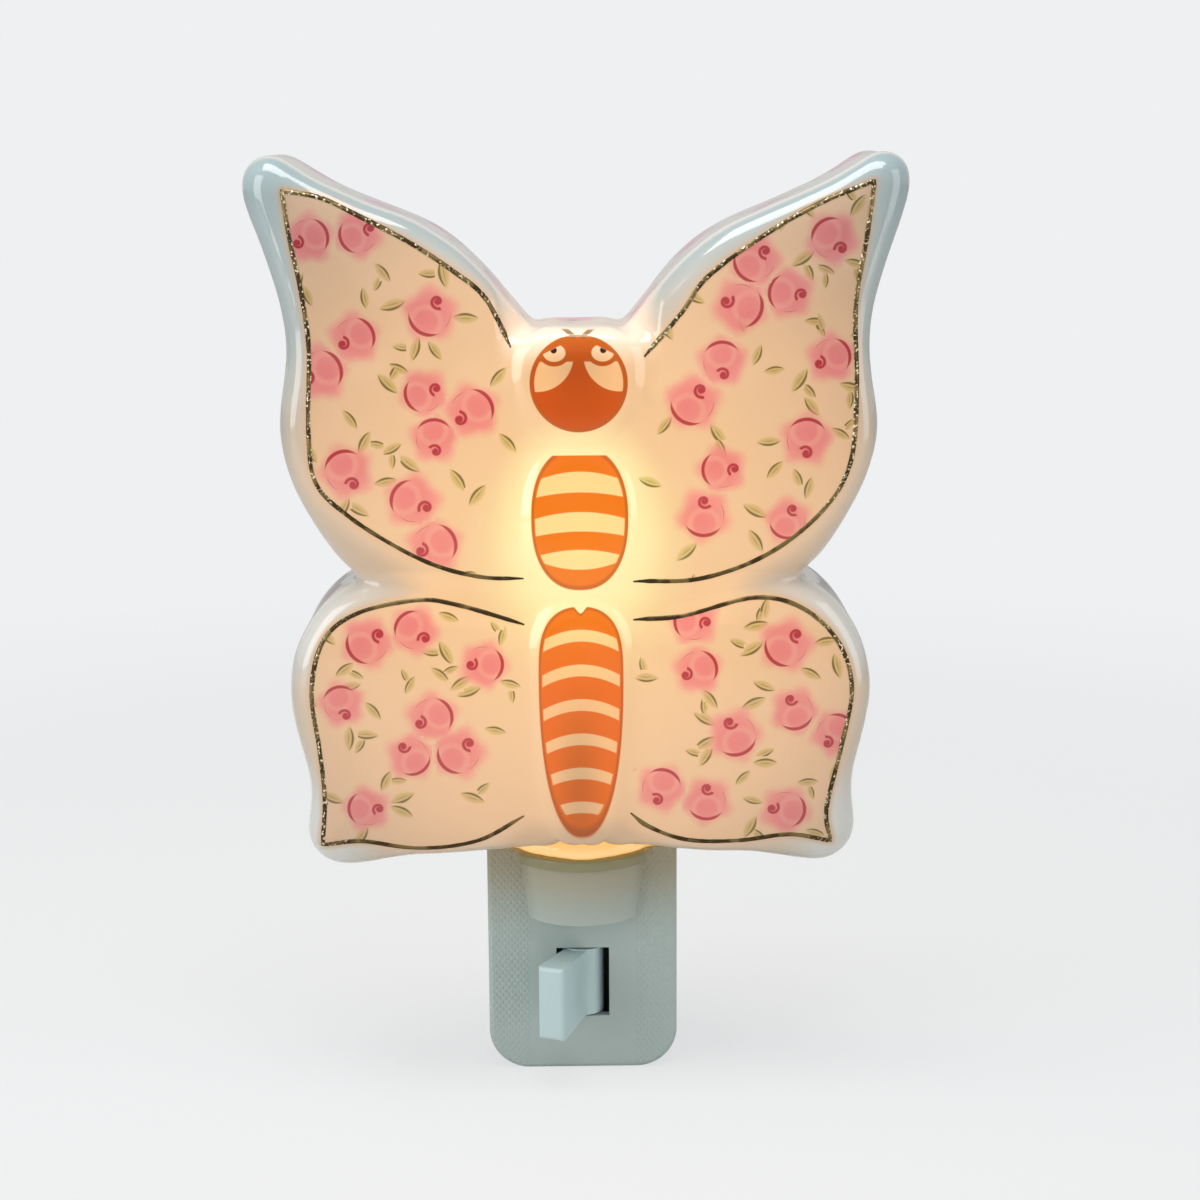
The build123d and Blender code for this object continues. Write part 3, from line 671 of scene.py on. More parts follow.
def modelGilding(shell, lines, finish):
    # one thin raised ribbon along each wing's line
    tree = BVHTree.FromObject(shell, bpy.context.evaluated_depsgraph_get())
    toWall = Vector((0, 1, 0))
    rng = random.Random(gilding["seed"])

    def onGlaze(x, z):
        hit = tree.ray_cast(Vector((x * mm, gilding["glanceY"] * mm, z * mm)), toWall)
        return hit[0] + hit[1] * gilding["lift"] * mm

    for name, run in lines.items():
        way = np.gradient(run, axis=0)
        way /= np.linalg.norm(way, axis=1)[:, None]
        across = np.column_stack([-way[:, 1], way[:, 0]])
        bm = bmesh.new()
        edge = None
        width = gilding["width"]
        for i in range(len(run)):
            stray = rng.uniform(-gilding["widthStray"], gilding["widthStray"])
            width += gilding["widthPull"] * (gilding["width"] - width) + stray
            fromEnd = min(i, len(run) - 1 - i)
            taper = min(1.0, gilding["taperStart"] + gilding["taperStep"] * fromEnd)
            ends = [run[i] + across[i] * width * taper * half for half in (-0.5, 0.5)]
            spots = [onGlaze(x, z) for x, z in ends]
            if edge is None:
                edge = bm.edges.new([bm.verts.new(spot) for spot in spots])
                continue
            grown = bmesh.ops.extrude_edge_only(bm, edges=[edge])["geom"]
            edge = next(g for g in grown if isinstance(g, bmesh.types.BMEdge))
            fresh = [g for g in grown if isinstance(g, bmesh.types.BMVert)]
            # the new end nearer to the first spot goes there
            old = {v: e.other_vert(v).co for v in fresh for e in v.link_edges if e is not edge}
            lean = {v: (old[v] - spots[0]).length - (old[v] - spots[1]).length for v in fresh}
            for vert, spot in zip(sorted(fresh, key=lean.get), spots):
                vert.co = spot
        bmesh.ops.recalc_face_normals(bm, faces=bm.faces)
        if sum(f.normal.y for f in bm.faces) > 0:
            bmesh.ops.reverse_faces(bm, faces=bm.faces)
        ribbon = addPiece(name + "Gilding", bm)
        thick = ribbon.modifiers.new("thickness", "SOLIDIFY")
        thick.thickness = gilding["thick"] * mm
        thick.offset = gilding["sunk"]
        ribbon.data.shade_smooth()
        ribbon.data.materials.append(finish.material)
        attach(ribbon, "base")
    print("gilding laid:", len(lines), "lines")


def giltFinish():
    finish = Finish("gilding", Metallic=gilding["metallic"])
    x, _, z = finish.place()
    grain = finish.speckle(*gilding["grain"])
    worn = finish.ease(finish.speckle(*gilding["wear"]), *gilding["wearEnds"])
    colour = finish.mix(worn, gilding["dark"], gilding["gold"])
    # painted glints: lighter gold in grains on the upper and outer lines, where the lights catch them
    above = finish.ease(z, *gilding["glintUp"])
    beside = finish.ease(abs(x), *gilding["glintOut"])
    paintedGlint = finish.most(above, beside) * finish.ease(grain, *gilding["glintGrain"])
    smooth, spread = gilding["roughness"]
    finish.feed(
        Base_Color=finish.mix(paintedGlint, colour, gilding["paintedGlint"]),
        Roughness=smooth + grain * spread,
        Normal=finish.bump(grain, *gilding["bump"]),
    )
    return finish


# the print: sprays of roses and leaves in the flat plan, in millimetres
rosePrint = {
    "seed": 11,
    "roseRadius": 5.7,
    "roseSizes": (0.88, 1.08),
    "leafLength": 2.2,
    "leafSizes": (0.8, 1.1),
    "leavesMore": 3,
    "leafGap": (0.0, 1.6),
    "leafStray": 0.25,
    "leafTilt": 0.9,
    "pairShare": 0.45,
    "pairSwing": (0.9, 1.4),
    "pairSize": 0.8,
    "wallStep": 14.0,
    "wallStray": 0.2,
    "wallLength": 900.0,
    "wallRows": (-26.0, -17.5),
    "posies": {
        1: [(0.0, 0.0)],
        2: [(-4.0, 1.2), (4.1, -1.1)],
        3: [(-4.2, -2.0), (4.3, -2.2), (0.2, 4.6)],
    },
    # place across and up, turn in degrees, roses in the spray
    "sprays": [
        (-41, 131, 20, 2), (-25, 118, -30, 1), (-41, 111, 60, 2), (-23, 101, 160, 3), (-40, 91, 75, 1),
        (-27, 82, -50, 2),
        (43, 130, -60, 1), (31, 122, 15, 3), (43, 110, 120, 1), (22, 106, 70, 2), (39, 96, 10, 1),
        (23, 87, 85, 2), (36, 82, -20, 1),
        (-33, 62, 30, 2), (-17, 57, -40, 1), (-42, 50, 95, 1), (-26, 43, 5, 3), (-38, 31, -20, 1),
        (20, 60, -70, 2), (36, 60, 25, 1), (41, 46, -15, 2), (27, 44, 50, 1), (18, 33, 0, 2),
        (36, 30, 140, 1),
    ],
}


def printMotifs():
    rng = random.Random(rosePrint["seed"])
    roses, leaves = [], []
    sprays = list(rosePrint["sprays"])

    def stray(key):
        return rng.uniform(-rosePrint[key], rosePrint[key])

    for i in range(int(rosePrint["wallLength"] / rosePrint["wallStep"])):
        along = shade["wallPlan"] + (i + stray("wallStray")) * rosePrint["wallStep"]
        sprays.append((along, rosePrint["wallRows"][i % 2], rng.uniform(0, 360), 1))
    for x, z, turn, count in sprays:
        angle = math.radians(turn)
        reach = 0.0
        for dx, dz in rosePrint["posies"][count]:
            u = dx * math.cos(angle) - dz * math.sin(angle)
            v = dx * math.sin(angle) + dz * math.cos(angle)
            size = rosePrint["roseRadius"] * rng.uniform(*rosePrint["roseSizes"])
            roses.append((x + u, z + v, rng.uniform(0, math.tau), size))
            reach = max(reach, math.hypot(u, v) + size)
        leafCount = rosePrint["leavesMore"] + count
        for k in range(leafCount):
            bearing = angle + math.tau * (k + stray("leafStray")) / leafCount
            away = reach + rng.uniform(*rosePrint["leafGap"])
            tilt = bearing + stray("leafTilt")
            size = rosePrint["leafLength"] * rng.uniform(*rosePrint["leafSizes"])
            leafX, leafZ = x + away * math.cos(bearing), z + away * math.sin(bearing)
            leaves.append((leafX, leafZ, tilt, size))
            if rng.random() < rosePrint["pairShare"]:
                swing = tilt + rng.choice((-1, 1)) * rng.uniform(*rosePrint["pairSwing"])
                leafX, leafZ = leafX + size * math.cos(swing), leafZ + size * math.sin(swing)
                leaves.append((leafX, leafZ, swing, size * rosePrint["pairSize"]))
    print("print:", len(roses), "roses,", len(leaves), "leaves")
    return roses, leaves


def motifPlace(finish, name):
    # the print's plan as seen from the face's motif, 1 at the motif's edge
    size = finish.stored(name + "Size")
    u = (finish.stored("printAcross") - finish.stored(name + "Across")) / size
    v = (finish.stored("printUp") - finish.stored(name + "Up")) / size
    turn = finish.stored(name + "Turn")
    c, s = turn.maths("COSINE"), turn.maths("SINE")
    return u * c + v * s, v * c - u * s


inks = {
    "ground": paint(250, 240, 226),
    "petal": paint(255, 206, 218),
    "rose": paint(252, 182, 203),
    "roseHeart": paint(244, 136, 171),
    "crimson": paint(186, 14, 60),
    "leaf": paint(206, 202, 112),
    "leafEdge": paint(104, 100, 30),
    "orange": paint(240, 130, 0),
    "headOrange": paint(211, 100, 0),
    "orangeEdge": paint(196, 106, 6),
    "cream": paint(255, 232, 202),
    "pupil": paint(40, 18, 12),
    "feeler": paint(148, 108, 40),
}

# one rose, with its radius as 1
rose = {
    "lobes": 5,
    "lobeTurn": 0.7,
    "lobeDepth": 0.09,
    "ragged": 0.16,
    "raggedSize": 1.6,
    "petalEnds": (0.96, 0.52),
    "petalShare": 0.92,
    "heartEnds": (0.80, 0.20),
    "heartShare": 0.55,
    "blushEnds": (-0.3, 0.6),
    "blushShare": 0.25,
    # centre and radius of the pale fold
    "fold": (-0.16, 0.22, 0.42),
    "foldEnds": (0.14, 0.02),
    "foldShare": 0.45,
    # turn and radius of each stroke, the cosine where it ends, half its thickness
    "strokes": [(2.1, 0.62, 0.50, 0.053), (3.9, 0.58, 0.90, 0.045)],
    "strokeTaper": 0.45,
    "strokeTip": 0.05,
    "strokeEnds": (0.02, -0.02),
    "strokeShare": 0.9,
    # centre of the curl, its first radius and its growth, half its thickness
    "curl": (0.22, -0.34, 0.05, 0.026, 0.042),
    "curlEnds": (0.03, -0.02),
    "dotEnds": (0.13, 0.07),
    "nearZero": 0.001,
}


def paintRoses(finish, ground, shown):
    u, v = motifPlace(finish, "rose")
    away = length2(u, v)
    lobes = finish.maths("SINE", finish.maths("ARCTAN2", v, u) * rose["lobes"] + rose["lobeTurn"])
    ragged = rose["ragged"] * (finish.speckle(rose["raggedSize"]) - 0.5)
    wavy = away * (1 + rose["lobeDepth"] * lobes) + ragged
    petal = finish.ease(wavy, *rose["petalEnds"]) * rose["petalShare"]
    heart = finish.ease(away, *rose["heartEnds"]) * rose["heartShare"]
    heart = heart + finish.ease(v, *rose["blushEnds"]) * rose["blushShare"]
    foldU, foldV, foldRadius = rose["fold"]
    fold = abs(length2(u - foldU, v - foldV) - foldRadius)
    fold = finish.ease(fold, *rose["foldEnds"]) * rose["foldShare"]
    # one long stroke over the bud, a short one beside it and a curl in its middle
    stroke = 0.0
    for turn, radius, end, half in rose["strokes"]:
        towards = (u * math.cos(turn) + v * math.sin(turn)) / (away + rose["nearZero"])
        taper = finish.ease(towards, end, end + rose["strokeTaper"])
        line = finish.ease(abs(away - radius) - half * taper, *rose["strokeEnds"])
        stroke = line * finish.ease(towards, end, end + rose["strokeTip"]) + stroke
    curlU, curlV, curlStart, curlGrowth, curlHalf = rose["curl"]
    du, dv = u - curlU, v - curlV
    curlAway = length2(du, dv)
    turned = finish.maths("ARCTAN2", dv, du) + math.pi
    spiral = abs(curlAway - (curlStart + curlGrowth * turned)) - curlHalf
    spiral = finish.most(finish.ease(spiral, *rose["curlEnds"]), finish.ease(curlAway, *rose["dotEnds"]))
    stroke = finish.maths("MINIMUM", stroke + spiral, 1.0) * rose["strokeShare"]
    pink = finish.mix(heart, inks["rose"], inks["roseHeart"])
    colour = finish.mix(petal * shown, ground, finish.mix(fold, pink, inks["petal"]))
    return finish.mix(stroke * shown, colour, inks["crimson"])


# one leaf, with half its length as 1
leaf = {
    "slim": 1.8,
    "bladeHalf": 0.66,
    "bladeEnds": (0.28, -0.28),
    "bladeShare": 0.62,
    "edgeAt": 0.5,
    "edgeHalf": 0.16,
    "edgeEnds": (0.05, -0.05),
    "veinAt": 0.08,
    "veinHalf": 0.10,
    "veinTaper": (0.6, 0.1),
    "veinEnds": (0.03, -0.03),
    "veinShare": 0.4,
    "tips": (0.98, 0.80),
    "inkShare": 0.85,
}


def paintLeaves(finish, ground, shown):
    u, v = motifPlace(finish, "leaf")
    v = v * leaf["slim"]
    bow = 1 - u * u
    blade = finish.ease(abs(v) - leaf["bladeHalf"] * bow, *leaf["bladeEnds"]) * leaf["bladeShare"]
    edge = abs(v - leaf["edgeAt"] * bow) - leaf["edgeHalf"] * bow
    vein = abs(v + leaf["veinAt"]) - leaf["veinHalf"] * finish.ease(abs(u), *leaf["veinTaper"])
    vein = finish.ease(vein, *leaf["veinEnds"]) * leaf["veinShare"]
    inked = finish.most(finish.ease(edge, *leaf["edgeEnds"]), vein) * finish.ease(abs(u), *leaf["tips"])
    colour = finish.mix(blade * shown, ground, inks["leaf"])
    return finish.mix(inked * shown * leaf["inkShare"], colour, inks["leafEdge"])


# the printed insect, in millimetres
bug = {
    "slant": 0.2,
    "soft": 0.1,
    "edge": 0.8,
    "headZ": 106.1,
    "headRadius": 8.35,
    "headRim": (-0.1, 0.25),
    "cheek": (7.05, 110.9, 6.2),
    "cheekTop": (-2.0, -2.4),
    "lid": (4.1, 112.0, 2.6),
    "lidGap": (0.3, 0.5),
    "lidLine": (0.40, 0.22),
    "lidTop": (-0.4, -1.0),
    "eye": (4.1, 111.3, 1.9, 1.5),
    "eyeEnds": (1.05, 0.95),
    "brow": (112.05, 0.5),
    "pupil": (4.2, 111.75, 0.55),
    "feelerFoot": (0.8, 114.1),
    "feelerTip": (3.0, 116.3),
    "feelerHalf": 0.4,
    "feelerShare": 0.9,
    # middle, half width, half height and power; then each band's top, foot and their arches
    "thorax": (82.8, 8.35, 12.5, 2.3),
    "thoraxTop": 93.8,
    "thoraxBands": [(91.0, 87.4, 0.028, 0.015), (84.0, 80.6, 0.020, 0.014), (77.4, 73.9, 0.020, -0.030)],
    "thoraxCore": (0.86, 0.80),
    "thoraxCoreTop": (-0.8, -1.0),
    "thoraxRim": (0.82, 0.92),
    # middle, half width, reach up and down; then the first band's top, their pitch, height and arch
    "abdomen": (54.0, 7.4, 13.4, 28.4),
    "abdomenPowers": (2.3, 3.4, 2.2),
    "abdomenNotch": (0.10, 1.3),
    "abdomenBands": (63.4, 6.2, 2.1, 0.042),
    "bandSoft": 0.2,
    "bandTopSoft": 0.4,
    "abdomenCore": (0.84, 0.78),
    "abdomenRim": (0.82, 0.93),
    "shapeEnds": (1.03, 0.97),
    "rimShare": 0.8,
}


def paintBug(finish, ground, x, y, z, shown):
    # laid on a little from above, so that it also covers the domed head
    z = z + (y - shade["bodyY"]) * bug["slant"]
    side = abs(x)
    bowed = x * x

    def ring(centreX, centreZ):
        return length2(side - centreX, z - centreZ)

    def under(value, edge):
        return finish.ease(value, edge + bug["soft"], edge - bug["soft"])

    # head: disc with pale cheeks, lidded eyes over them and two feelers
    head = length2(x, z - bug["headZ"])
    disc = under(head, bug["headRadius"])
    cheekX, cheekZ, cheekRadius = bug["cheek"]
    inner = bug["headRadius"] - bug["edge"]
    pale = under(ring(cheekX, cheekZ), cheekRadius) * under(head, inner)
    lidX, lidZ, lidRadius = bug["lid"]
    fromLid = ring(lidX, lidZ) - lidRadius
    pale = pale * finish.ease(fromLid, *bug["lidGap"]) * finish.ease(z - lidZ, *bug["cheekTop"])
    lid = finish.ease(abs(fromLid), *bug["lidLine"]) * finish.ease(z - lidZ, *bug["lidTop"])
    eyeX, eyeZ, eyeHalf, eyeRise = bug["eye"]
    browZ, browSlope = bug["brow"]
    eye = finish.ease(length2((side - eyeX) / eyeHalf, (z - eyeZ) / eyeRise), *bug["eyeEnds"])
    eye = eye * under(z + (side - eyeX) * browSlope, browZ)
    pale = finish.most(pale, eye)
    pupilX, pupilZ, pupilRadius = bug["pupil"]
    pupil = under(ring(pupilX, pupilZ), pupilRadius)
    footX, footZ = bug["feelerFoot"]
    runX, runZ = bug["feelerTip"][0] - footX, bug["feelerTip"][1] - footZ
    along = ((side - footX) * runX + (z - footZ) * runZ) / (runX * runX + runZ * runZ)
    along = finish.maths("MINIMUM", finish.most(along, 0.0), 1.0)
    feeler = under(length2(side - footX - along * runX, z - footZ - along * runZ), bug["feelerHalf"])
    # thorax: barrel with three pale arched bands
    midZ, halfWidth, halfHeight, power = bug["thorax"]
    barrel = (side / halfWidth) ** power + (abs(z - midZ) / halfHeight) ** power
    thorax = finish.ease(barrel, *bug["shapeEnds"]) * under(z, bug["thoraxTop"])
    core = finish.ease(barrel, *bug["thoraxCore"])
    core = core * finish.ease(z - bug["thoraxTop"], *bug["thoraxCoreTop"])
    bands = 0.0
    for top, foot, topArch, footArch in bug["thoraxBands"]:
        over = finish.ease(z + bowed * footArch, foot - bug["soft"], foot + bug["soft"])
        bands = under(z + bowed * topArch, top) * over + bands
    pale = finish.most(pale, bands * core)
    # abdomen: long tapered form with a notch at its top and evenly spaced arched bands
    midZ, halfWidth, upHalf, downHalf = bug["abdomen"]
    sidePower, upPower, downPower = bug["abdomenPowers"]
    notchDepth, notchHalf = bug["abdomenNotch"]
    rise = finish.most(z - midZ, 0.0) / upHalf
    fall = finish.most(midZ - z, 0.0) / downHalf
    notch = notchDepth * finish.ease(side, notchHalf, 0.0)
    tail = (side / halfWidth) ** sidePower + (rise + notch * rise) ** upPower + fall ** downPower
    abdomen = finish.ease(tail, *bug["shapeEnds"])
    firstTop, pitch, thick, arch = bug["abdomenBands"]
    phase = (firstTop - z - bowed * arch) % pitch
    stripe = finish.ease(phase, 0.0, bug["bandSoft"])
    stripe = stripe * finish.ease(phase, thick + bug["bandSoft"], thick)
    inset = finish.ease(tail, *bug["abdomenCore"])
    inset = inset * finish.ease(z, firstTop + bug["bandTopSoft"], firstTop)
    pale = finish.most(pale, stripe * inset)
    # ink: darker along every edge, as a fired print pools there
    body = finish.most(disc, thorax, abdomen)
    rims = finish.most(disc * finish.ease(head - inner, *bug["headRim"]), lid * disc)
    rims = finish.most(rims, thorax * finish.ease(barrel, *bug["thoraxRim"]))
    rims = finish.most(rims, abdomen * finish.ease(tail, *bug["abdomenRim"]))
    ink = finish.mix(disc, inks["orange"], inks["headOrange"])
    ink = finish.mix(rims * bug["rimShare"], ink, inks["orangeEdge"])
    ink = finish.mix(pale, ink, inks["cream"])
    ink = finish.mix(pupil * pale, ink, inks["pupil"])
    body = body * shown
    colour = finish.mix(body, ground, ink)
    return finish.mix(feeler * shown * bug["feelerShare"], colour, inks["feeler"]), body


# light of the lamp through the porcelain, and the tones of its glaze, with painted shade and a bluish
# painted reflection on its rims and a painted light on the head's top
glow = {
    "centreZ": 76.5,
    "stretch": 0.86,
    "reach": 80.0,
    # share of the reach, light through the wall there
    "stops": [
        (0.00, (0.64, 0.56, 0.20, 1)), (0.14, (0.59, 0.47, 0.14, 1)), (0.26, (0.54, 0.30, 0.10, 1)),
        (0.40, (0.48, 0.26, 0.10, 1)), (0.58, (0.36, 0.20, 0.085, 1)), (0.75, (0.17, 0.10, 0.05, 1)),
        (1.00, (0.04, 0.035, 0.03, 1)),
    ],
    "haloZ": 80.0,
    "haloHalf": 17.0,
    "haloRise": 24.0,
    "valleyZ": 68.3,
    "halo": (0.72, 0.68, 0.30, 1),
    "litHeadTop": (0.80, 0.80, 0.77, 1),
    "nearBody": (0.47, 0.39, 0.30, 1),
    "farBody": (0.48, 0.37, 0.29, 1),
    # rim colours: painted shade, bluish as a painted reflection of the room
    "tipRim": (0.33, 0.47, 0.56, 1),
    "lowRimShade": (0.44, 0.44, 0.42, 1),
    "coolRimShade": (0.55, 0.63, 0.69, 1),
    "wall": (0.74, 0.77, 0.79, 1),
    "inside": (0.62, 0.52, 0.40, 1),
    "insideLight": (0.42, 0.27, 0.12, 1),
    "lens": (0.66, 0.38, 0.09, 1),
    "leastTurned": 0.15,
    "leastRim": 0.45,
    "valleyGain": 1.15,
    "inkDims": 0.85,
    "coolDims": 0.5,
    # each zone is where all of its rows hold: what is measured, the values where it starts and is full
    "zones": {
        "field": [("depth", 0.0, 0.3), ("facing", 0.5, 0.7), ("fromBody", 8.6, 10.6)],
        "walls": [("y", -32.0, -30.5), ("facing", 0.6, 0.3)],
        "outside": [("outer", 0.4, 0.6)],
        "inside": [("outer", 0.6, 0.4)],
        "bodyFront": [("y", -30.0, -31.0), ("facing", 0.2, 0.4), ("outer", 0.4, 0.6)],
        "turnedToRoom": [("facing", 0.1, 0.95)],
        "middle": [("fromBody", 17.0, 11.0)],
        "offRim": [("depth", -5.0, 1.0)],
        "valley": [("fromValley", 8.0, 4.0), ("fromBody", 44.0, 24.0)],
        "halo": [("fromHalo", 1.0, 0.45)],
        "beyondHalo": [("away", 0.2, 0.45)],
        "farBody": [("away", 0.35, 0.8)],
        "pastLine": [("depth", 0.0, -1.5)],
        "turnedAside": [("facing", 0.75, 0.35)],
        "wings": [("fromBody", 11.0, 18.0)],
        "besideHead": [("z", 104.0, 111.0), ("fromBody", 9.0, 13.0)],
        "wingTips": [("z", 92.0, 118.0)],
        "shoulders": [("z", 50.0, 60.0), ("z", 73.8, 70.4), ("fromBody", 25.0, 35.0)],
        "corners": [("z", 42.0, 28.0), ("fromBody", 34.0, 44.0)],
        "farRim": [("away", 0.25, 0.62)],
        "wallTone": [("facing", 0.5, 0.15), ("fromBody", 8.0, 16.0)],
        "litHeadTop": [("z", 108.5, 114.0), ("fromBody", 15.0, 9.0)],
        "lens": [("z", 22.6, 22.2), ("y", -33.2, -32.6), ("fromBody", 15.0, 13.5)],
    },
}

# glaze: sizes and bump in millimetres, with the noise's detail beside its size
glaze = {
    "ior": 1.5,
    "coat": 0.6,
    "coatRoughness": 0.03,
    "inkHidesCoat": 0.8,
    "roughness": 0.07,
    "smudgeRoughness": 0.08,
    "insideRoughness": 0.45,
    "smudge": (14, 3.0),
    "dimple": (6, 0.0),
    "fineDimple": (2.2, 1.0),
    "fineShare": 0.3,
    "bump": (0.12, 0.35),
}


def porcelainFinish():
    finish = Finish("porcelain", IOR=glaze["ior"], Emission_Strength=1.0)
    finish.feed(Coat_Roughness=glaze["coatRoughness"])
    x, y, z = finish.place()
    depth, outer, facing = [finish.stored(name) for name in ("fieldDepth", "outerSide", "facing")]
    away = length2(x, (z - glow["centreZ"]) * glow["stretch"]) / glow["reach"]
    fromHalo = length2(x / glow["haloHalf"], (z - glow["haloZ"]) / glow["haloRise"])
    measures = {
        "y": y, "z": z, "depth": depth, "outer": outer, "facing": facing, "away": away,
        "fromBody": abs(x), "fromValley": abs(z - glow["valleyZ"]), "fromHalo": fromHalo,
    }

    def zone(name):
        mask = 1.0
        for measure, start, full in glow["zones"][name]:
            mask = finish.ease(measures[measure], start, full) * mask
        return mask

    printed = finish.maths("MINIMUM", zone("field") + zone("walls"), 1.0) * zone("outside")
    colour = paintLeaves(finish, inks["ground"], printed)
    colour = paintRoses(finish, colour, printed)
    colour, inked = paintBug(finish, colour, x, y, z, zone("bodyFront"))
    # light from the lamp inside, strongest round the middle of the body and less through the rims
    through = finish.node("ShaderNodeValToRGB", {"stops": glow["stops"]}, {0: away}, "Color")
    through = finish.mix(zone("halo") * (1 - inked * glow["inkDims"]), through, glow["halo"])
    clear = zone("turnedToRoom") * (1 - glow["leastTurned"]) + glow["leastTurned"]
    clear = finish.most(clear, zone("middle"))
    edgeFade = zone("offRim") * (1 - glow["leastRim"]) + glow["leastRim"]
    edgeFade = finish.most(edgeFade, zone("valley") * glow["valleyGain"])
    far = zone("beyondHalo")
    lit = finish.scaled(through, clear * (1 - far + far * edgeFade))
    # painted shade on the rims, which the lamp lights less, bluish as a painted reflection of the room;
    # cooler on the lower wings' shoulders and corners, far from the lamp
    rim = finish.most(zone("pastLine"), zone("turnedAside"))
    rim = rim * finish.most(zone("wings"), zone("besideHead"))
    coolShade = finish.most(zone("shoulders"), zone("corners")) * rim
    rimShade = finish.mix(zone("wingTips"), glow["lowRimShade"], glow["tipRim"])
    rimShade = finish.mix(coolShade, rimShade, glow["coolRimShade"])
    lit = finish.scaled(lit, 1 - coolShade * glow["coolDims"])
    body = finish.mix(zone("farBody"), glow["nearBody"], glow["farBody"])
    body = finish.mix(rim * zone("farRim"), body, rimShade)
    body = finish.mix(zone("wallTone"), body, glow["wall"])
    # the head's top painted lighter, a painted light where its upward face gets little lamp glow
    body = finish.mix(zone("litHeadTop"), body, glow["litHeadTop"])
    inside = zone("inside")
    base = finish.mix(inside, finish.tint(body, colour), glow["inside"])
    emit = finish.mix(inside, finish.tint(lit, colour), glow["insideLight"])
    # the bridge's front edge under the tail: a painted pool of lamplight, glowing in emission
    emit = finish.mix(zone("lens"), emit, glow["lens"])
    dimple = finish.speckle(*glaze["fineDimple"]) * glaze["fineShare"] + finish.speckle(*glaze["dimple"])
    smudge = finish.speckle(*glaze["smudge"]) * glaze["smudgeRoughness"]
    finish.feed(
        Base_Color=base,
        Emission_Color=emit,
        Roughness=glaze["roughness"] + smudge + inside * glaze["insideRoughness"],
        Coat_Weight=glaze["coat"] - finish.most(inside, inked * glaze["inkHidesCoat"]) * glaze["coat"],
        Normal=finish.bump(dimple, *glaze["bump"]),
    )
    return finish


# plastics; the housing also has a hatched front, painted warm lamplight on its top and a painted shadow on
# the shelf's edge
plastic = {
    "colours": {
        # grey-green plastic, darkened with painted shade, as the base stands in dim light
        "shadedHousingPlastic": (0.40, 0.48, 0.455, 1),
        "paddlePlastic": (0.47, 0.61, 0.62, 1),
        "holderPlastic": (0.78, 0.75, 0.68, 1),
        "wireCover": (0.70, 0.66, 0.58, 1),
        "blackInsulator": (0.03, 0.03, 0.035, 1),
    },
    "ior": 1.46,
    "coat": 0.15,
    "cloud": (9, 3.0),
    "darkest": 0.93,
    "roughness": (0.24, 0.10),
    "fine": (0.35, 1.0),
    "fineHeight": 0.12,
    "bump": (0.16, 0.6),
    "hatchOut": (9.4, 10.4),
    "hatchFront": (-23.0, -23.6),
    "hatchPitch": 1.15,
    "hatchSlants": (0.8, -0.8),
    "hatchHeight": 0.5,
    "hatchRoughness": 0.2,
    "warm": (0.33, 0.27, 0.15, 1),
    "warmUp": (2.0, 18.0),
    "warmShare": 0.75,
    "shelf": (0.22, 0.21, 0.10, 1),
    "shelfUp": (16.4, 17.0),
    "shelfFront": (-25.0, -27.0),
    "shelfShare": 0.8,
}


def plasticFinish(name, hatched=False):
    colour = plastic["colours"][name]
    finish = Finish(name, IOR=plastic["ior"], Coat_Weight=plastic["coat"])
    cloud = finish.speckle(*plastic["cloud"])
    tone = finish.mix(cloud, darker(colour, plastic["darkest"]), colour)
    smooth, spread = plastic["roughness"]
    rough = smooth + cloud * spread
    height = finish.speckle(*plastic["fine"]) * plastic["fineHeight"]
    if hatched:
        # fine diamond texture on the side thirds of the front
        x, y, z = finish.place()
        hatch = finish.ease(abs(x), *plastic["hatchOut"]) * finish.ease(y, *plastic["hatchFront"])
        rate = math.tau / plastic["hatchPitch"]
        waves = [finish.maths("SINE", (x + z * slant) * rate) for slant in plastic["hatchSlants"]]
        height = height + hatch * finish.most(*waves) * plastic["hatchHeight"]
        rough = rough + hatch * plastic["hatchRoughness"]
        # painted warm lamplight on the top of the base, and a dark olive painted shadow on the shelf's edge
        # under the porcelain
        warm = finish.ease(z, *plastic["warmUp"]) * plastic["warmShare"]
        tone = finish.mix(warm, tone, plastic["warm"])
        shelf = finish.ease(z, *plastic["shelfUp"]) * finish.ease(y, *plastic["shelfFront"])
        tone = finish.mix(shelf * plastic["shelfShare"], tone, plastic["shelf"])
    finish.feed(
        Base_Color=tone,
        Roughness=rough,
        Normal=finish.bump(height, *plastic["bump"]),
    )
    return finish


# metals: colour and roughness of each
metal = {
    "kinds": {
        "brass": ((0.78, 0.57, 0.25, 1), 0.24),
        "steel": ((0.56, 0.56, 0.55, 1), 0.3),
        "silver": ((0.72, 0.71, 0.69, 1), 0.3),
    },
    "cloud": (4, 4.0),
    "darkest": 0.72,
    "scratch": (0.25, 2.0, 1.0),
    "scratchRoughness": 0.15,
    "bump": (0.02, 0.4),
}


def metalFinish(name):
    colour, rough = metal["kinds"][name]
    finish = Finish(name, Metallic=1.0)
    cloud = finish.speckle(*metal["cloud"])
    scratch = finish.speckle(*metal["scratch"])
    finish.feed(
        Base_Color=finish.mix(cloud, darker(colour, metal["darkest"]), colour),
        Roughness=rough + scratch * metal["scratchRoughness"],
        Normal=finish.bump(scratch, *metal["bump"]),
    )
    return finish


rubber = {
    "ior": 1.42,
    "grain": (0.6, 3.0),
    "dark": (0.52, 0.50, 0.45, 1),
    "pale": (0.62, 0.60, 0.55, 1),
    "roughness": (0.55, 0.2),
    "bump": (0.05, 0.5),
}


def rubberFinish():
    finish = Finish("softRubber", IOR=rubber["ior"])
    grain = finish.speckle(*rubber["grain"])
    smooth, spread = rubber["roughness"]
    finish.feed(
        Base_Color=finish.mix(grain, rubber["dark"], rubber["pale"]),
        Roughness=smooth + grain * spread,
        Normal=finish.bump(grain, *rubber["bump"]),
    )
    return finish


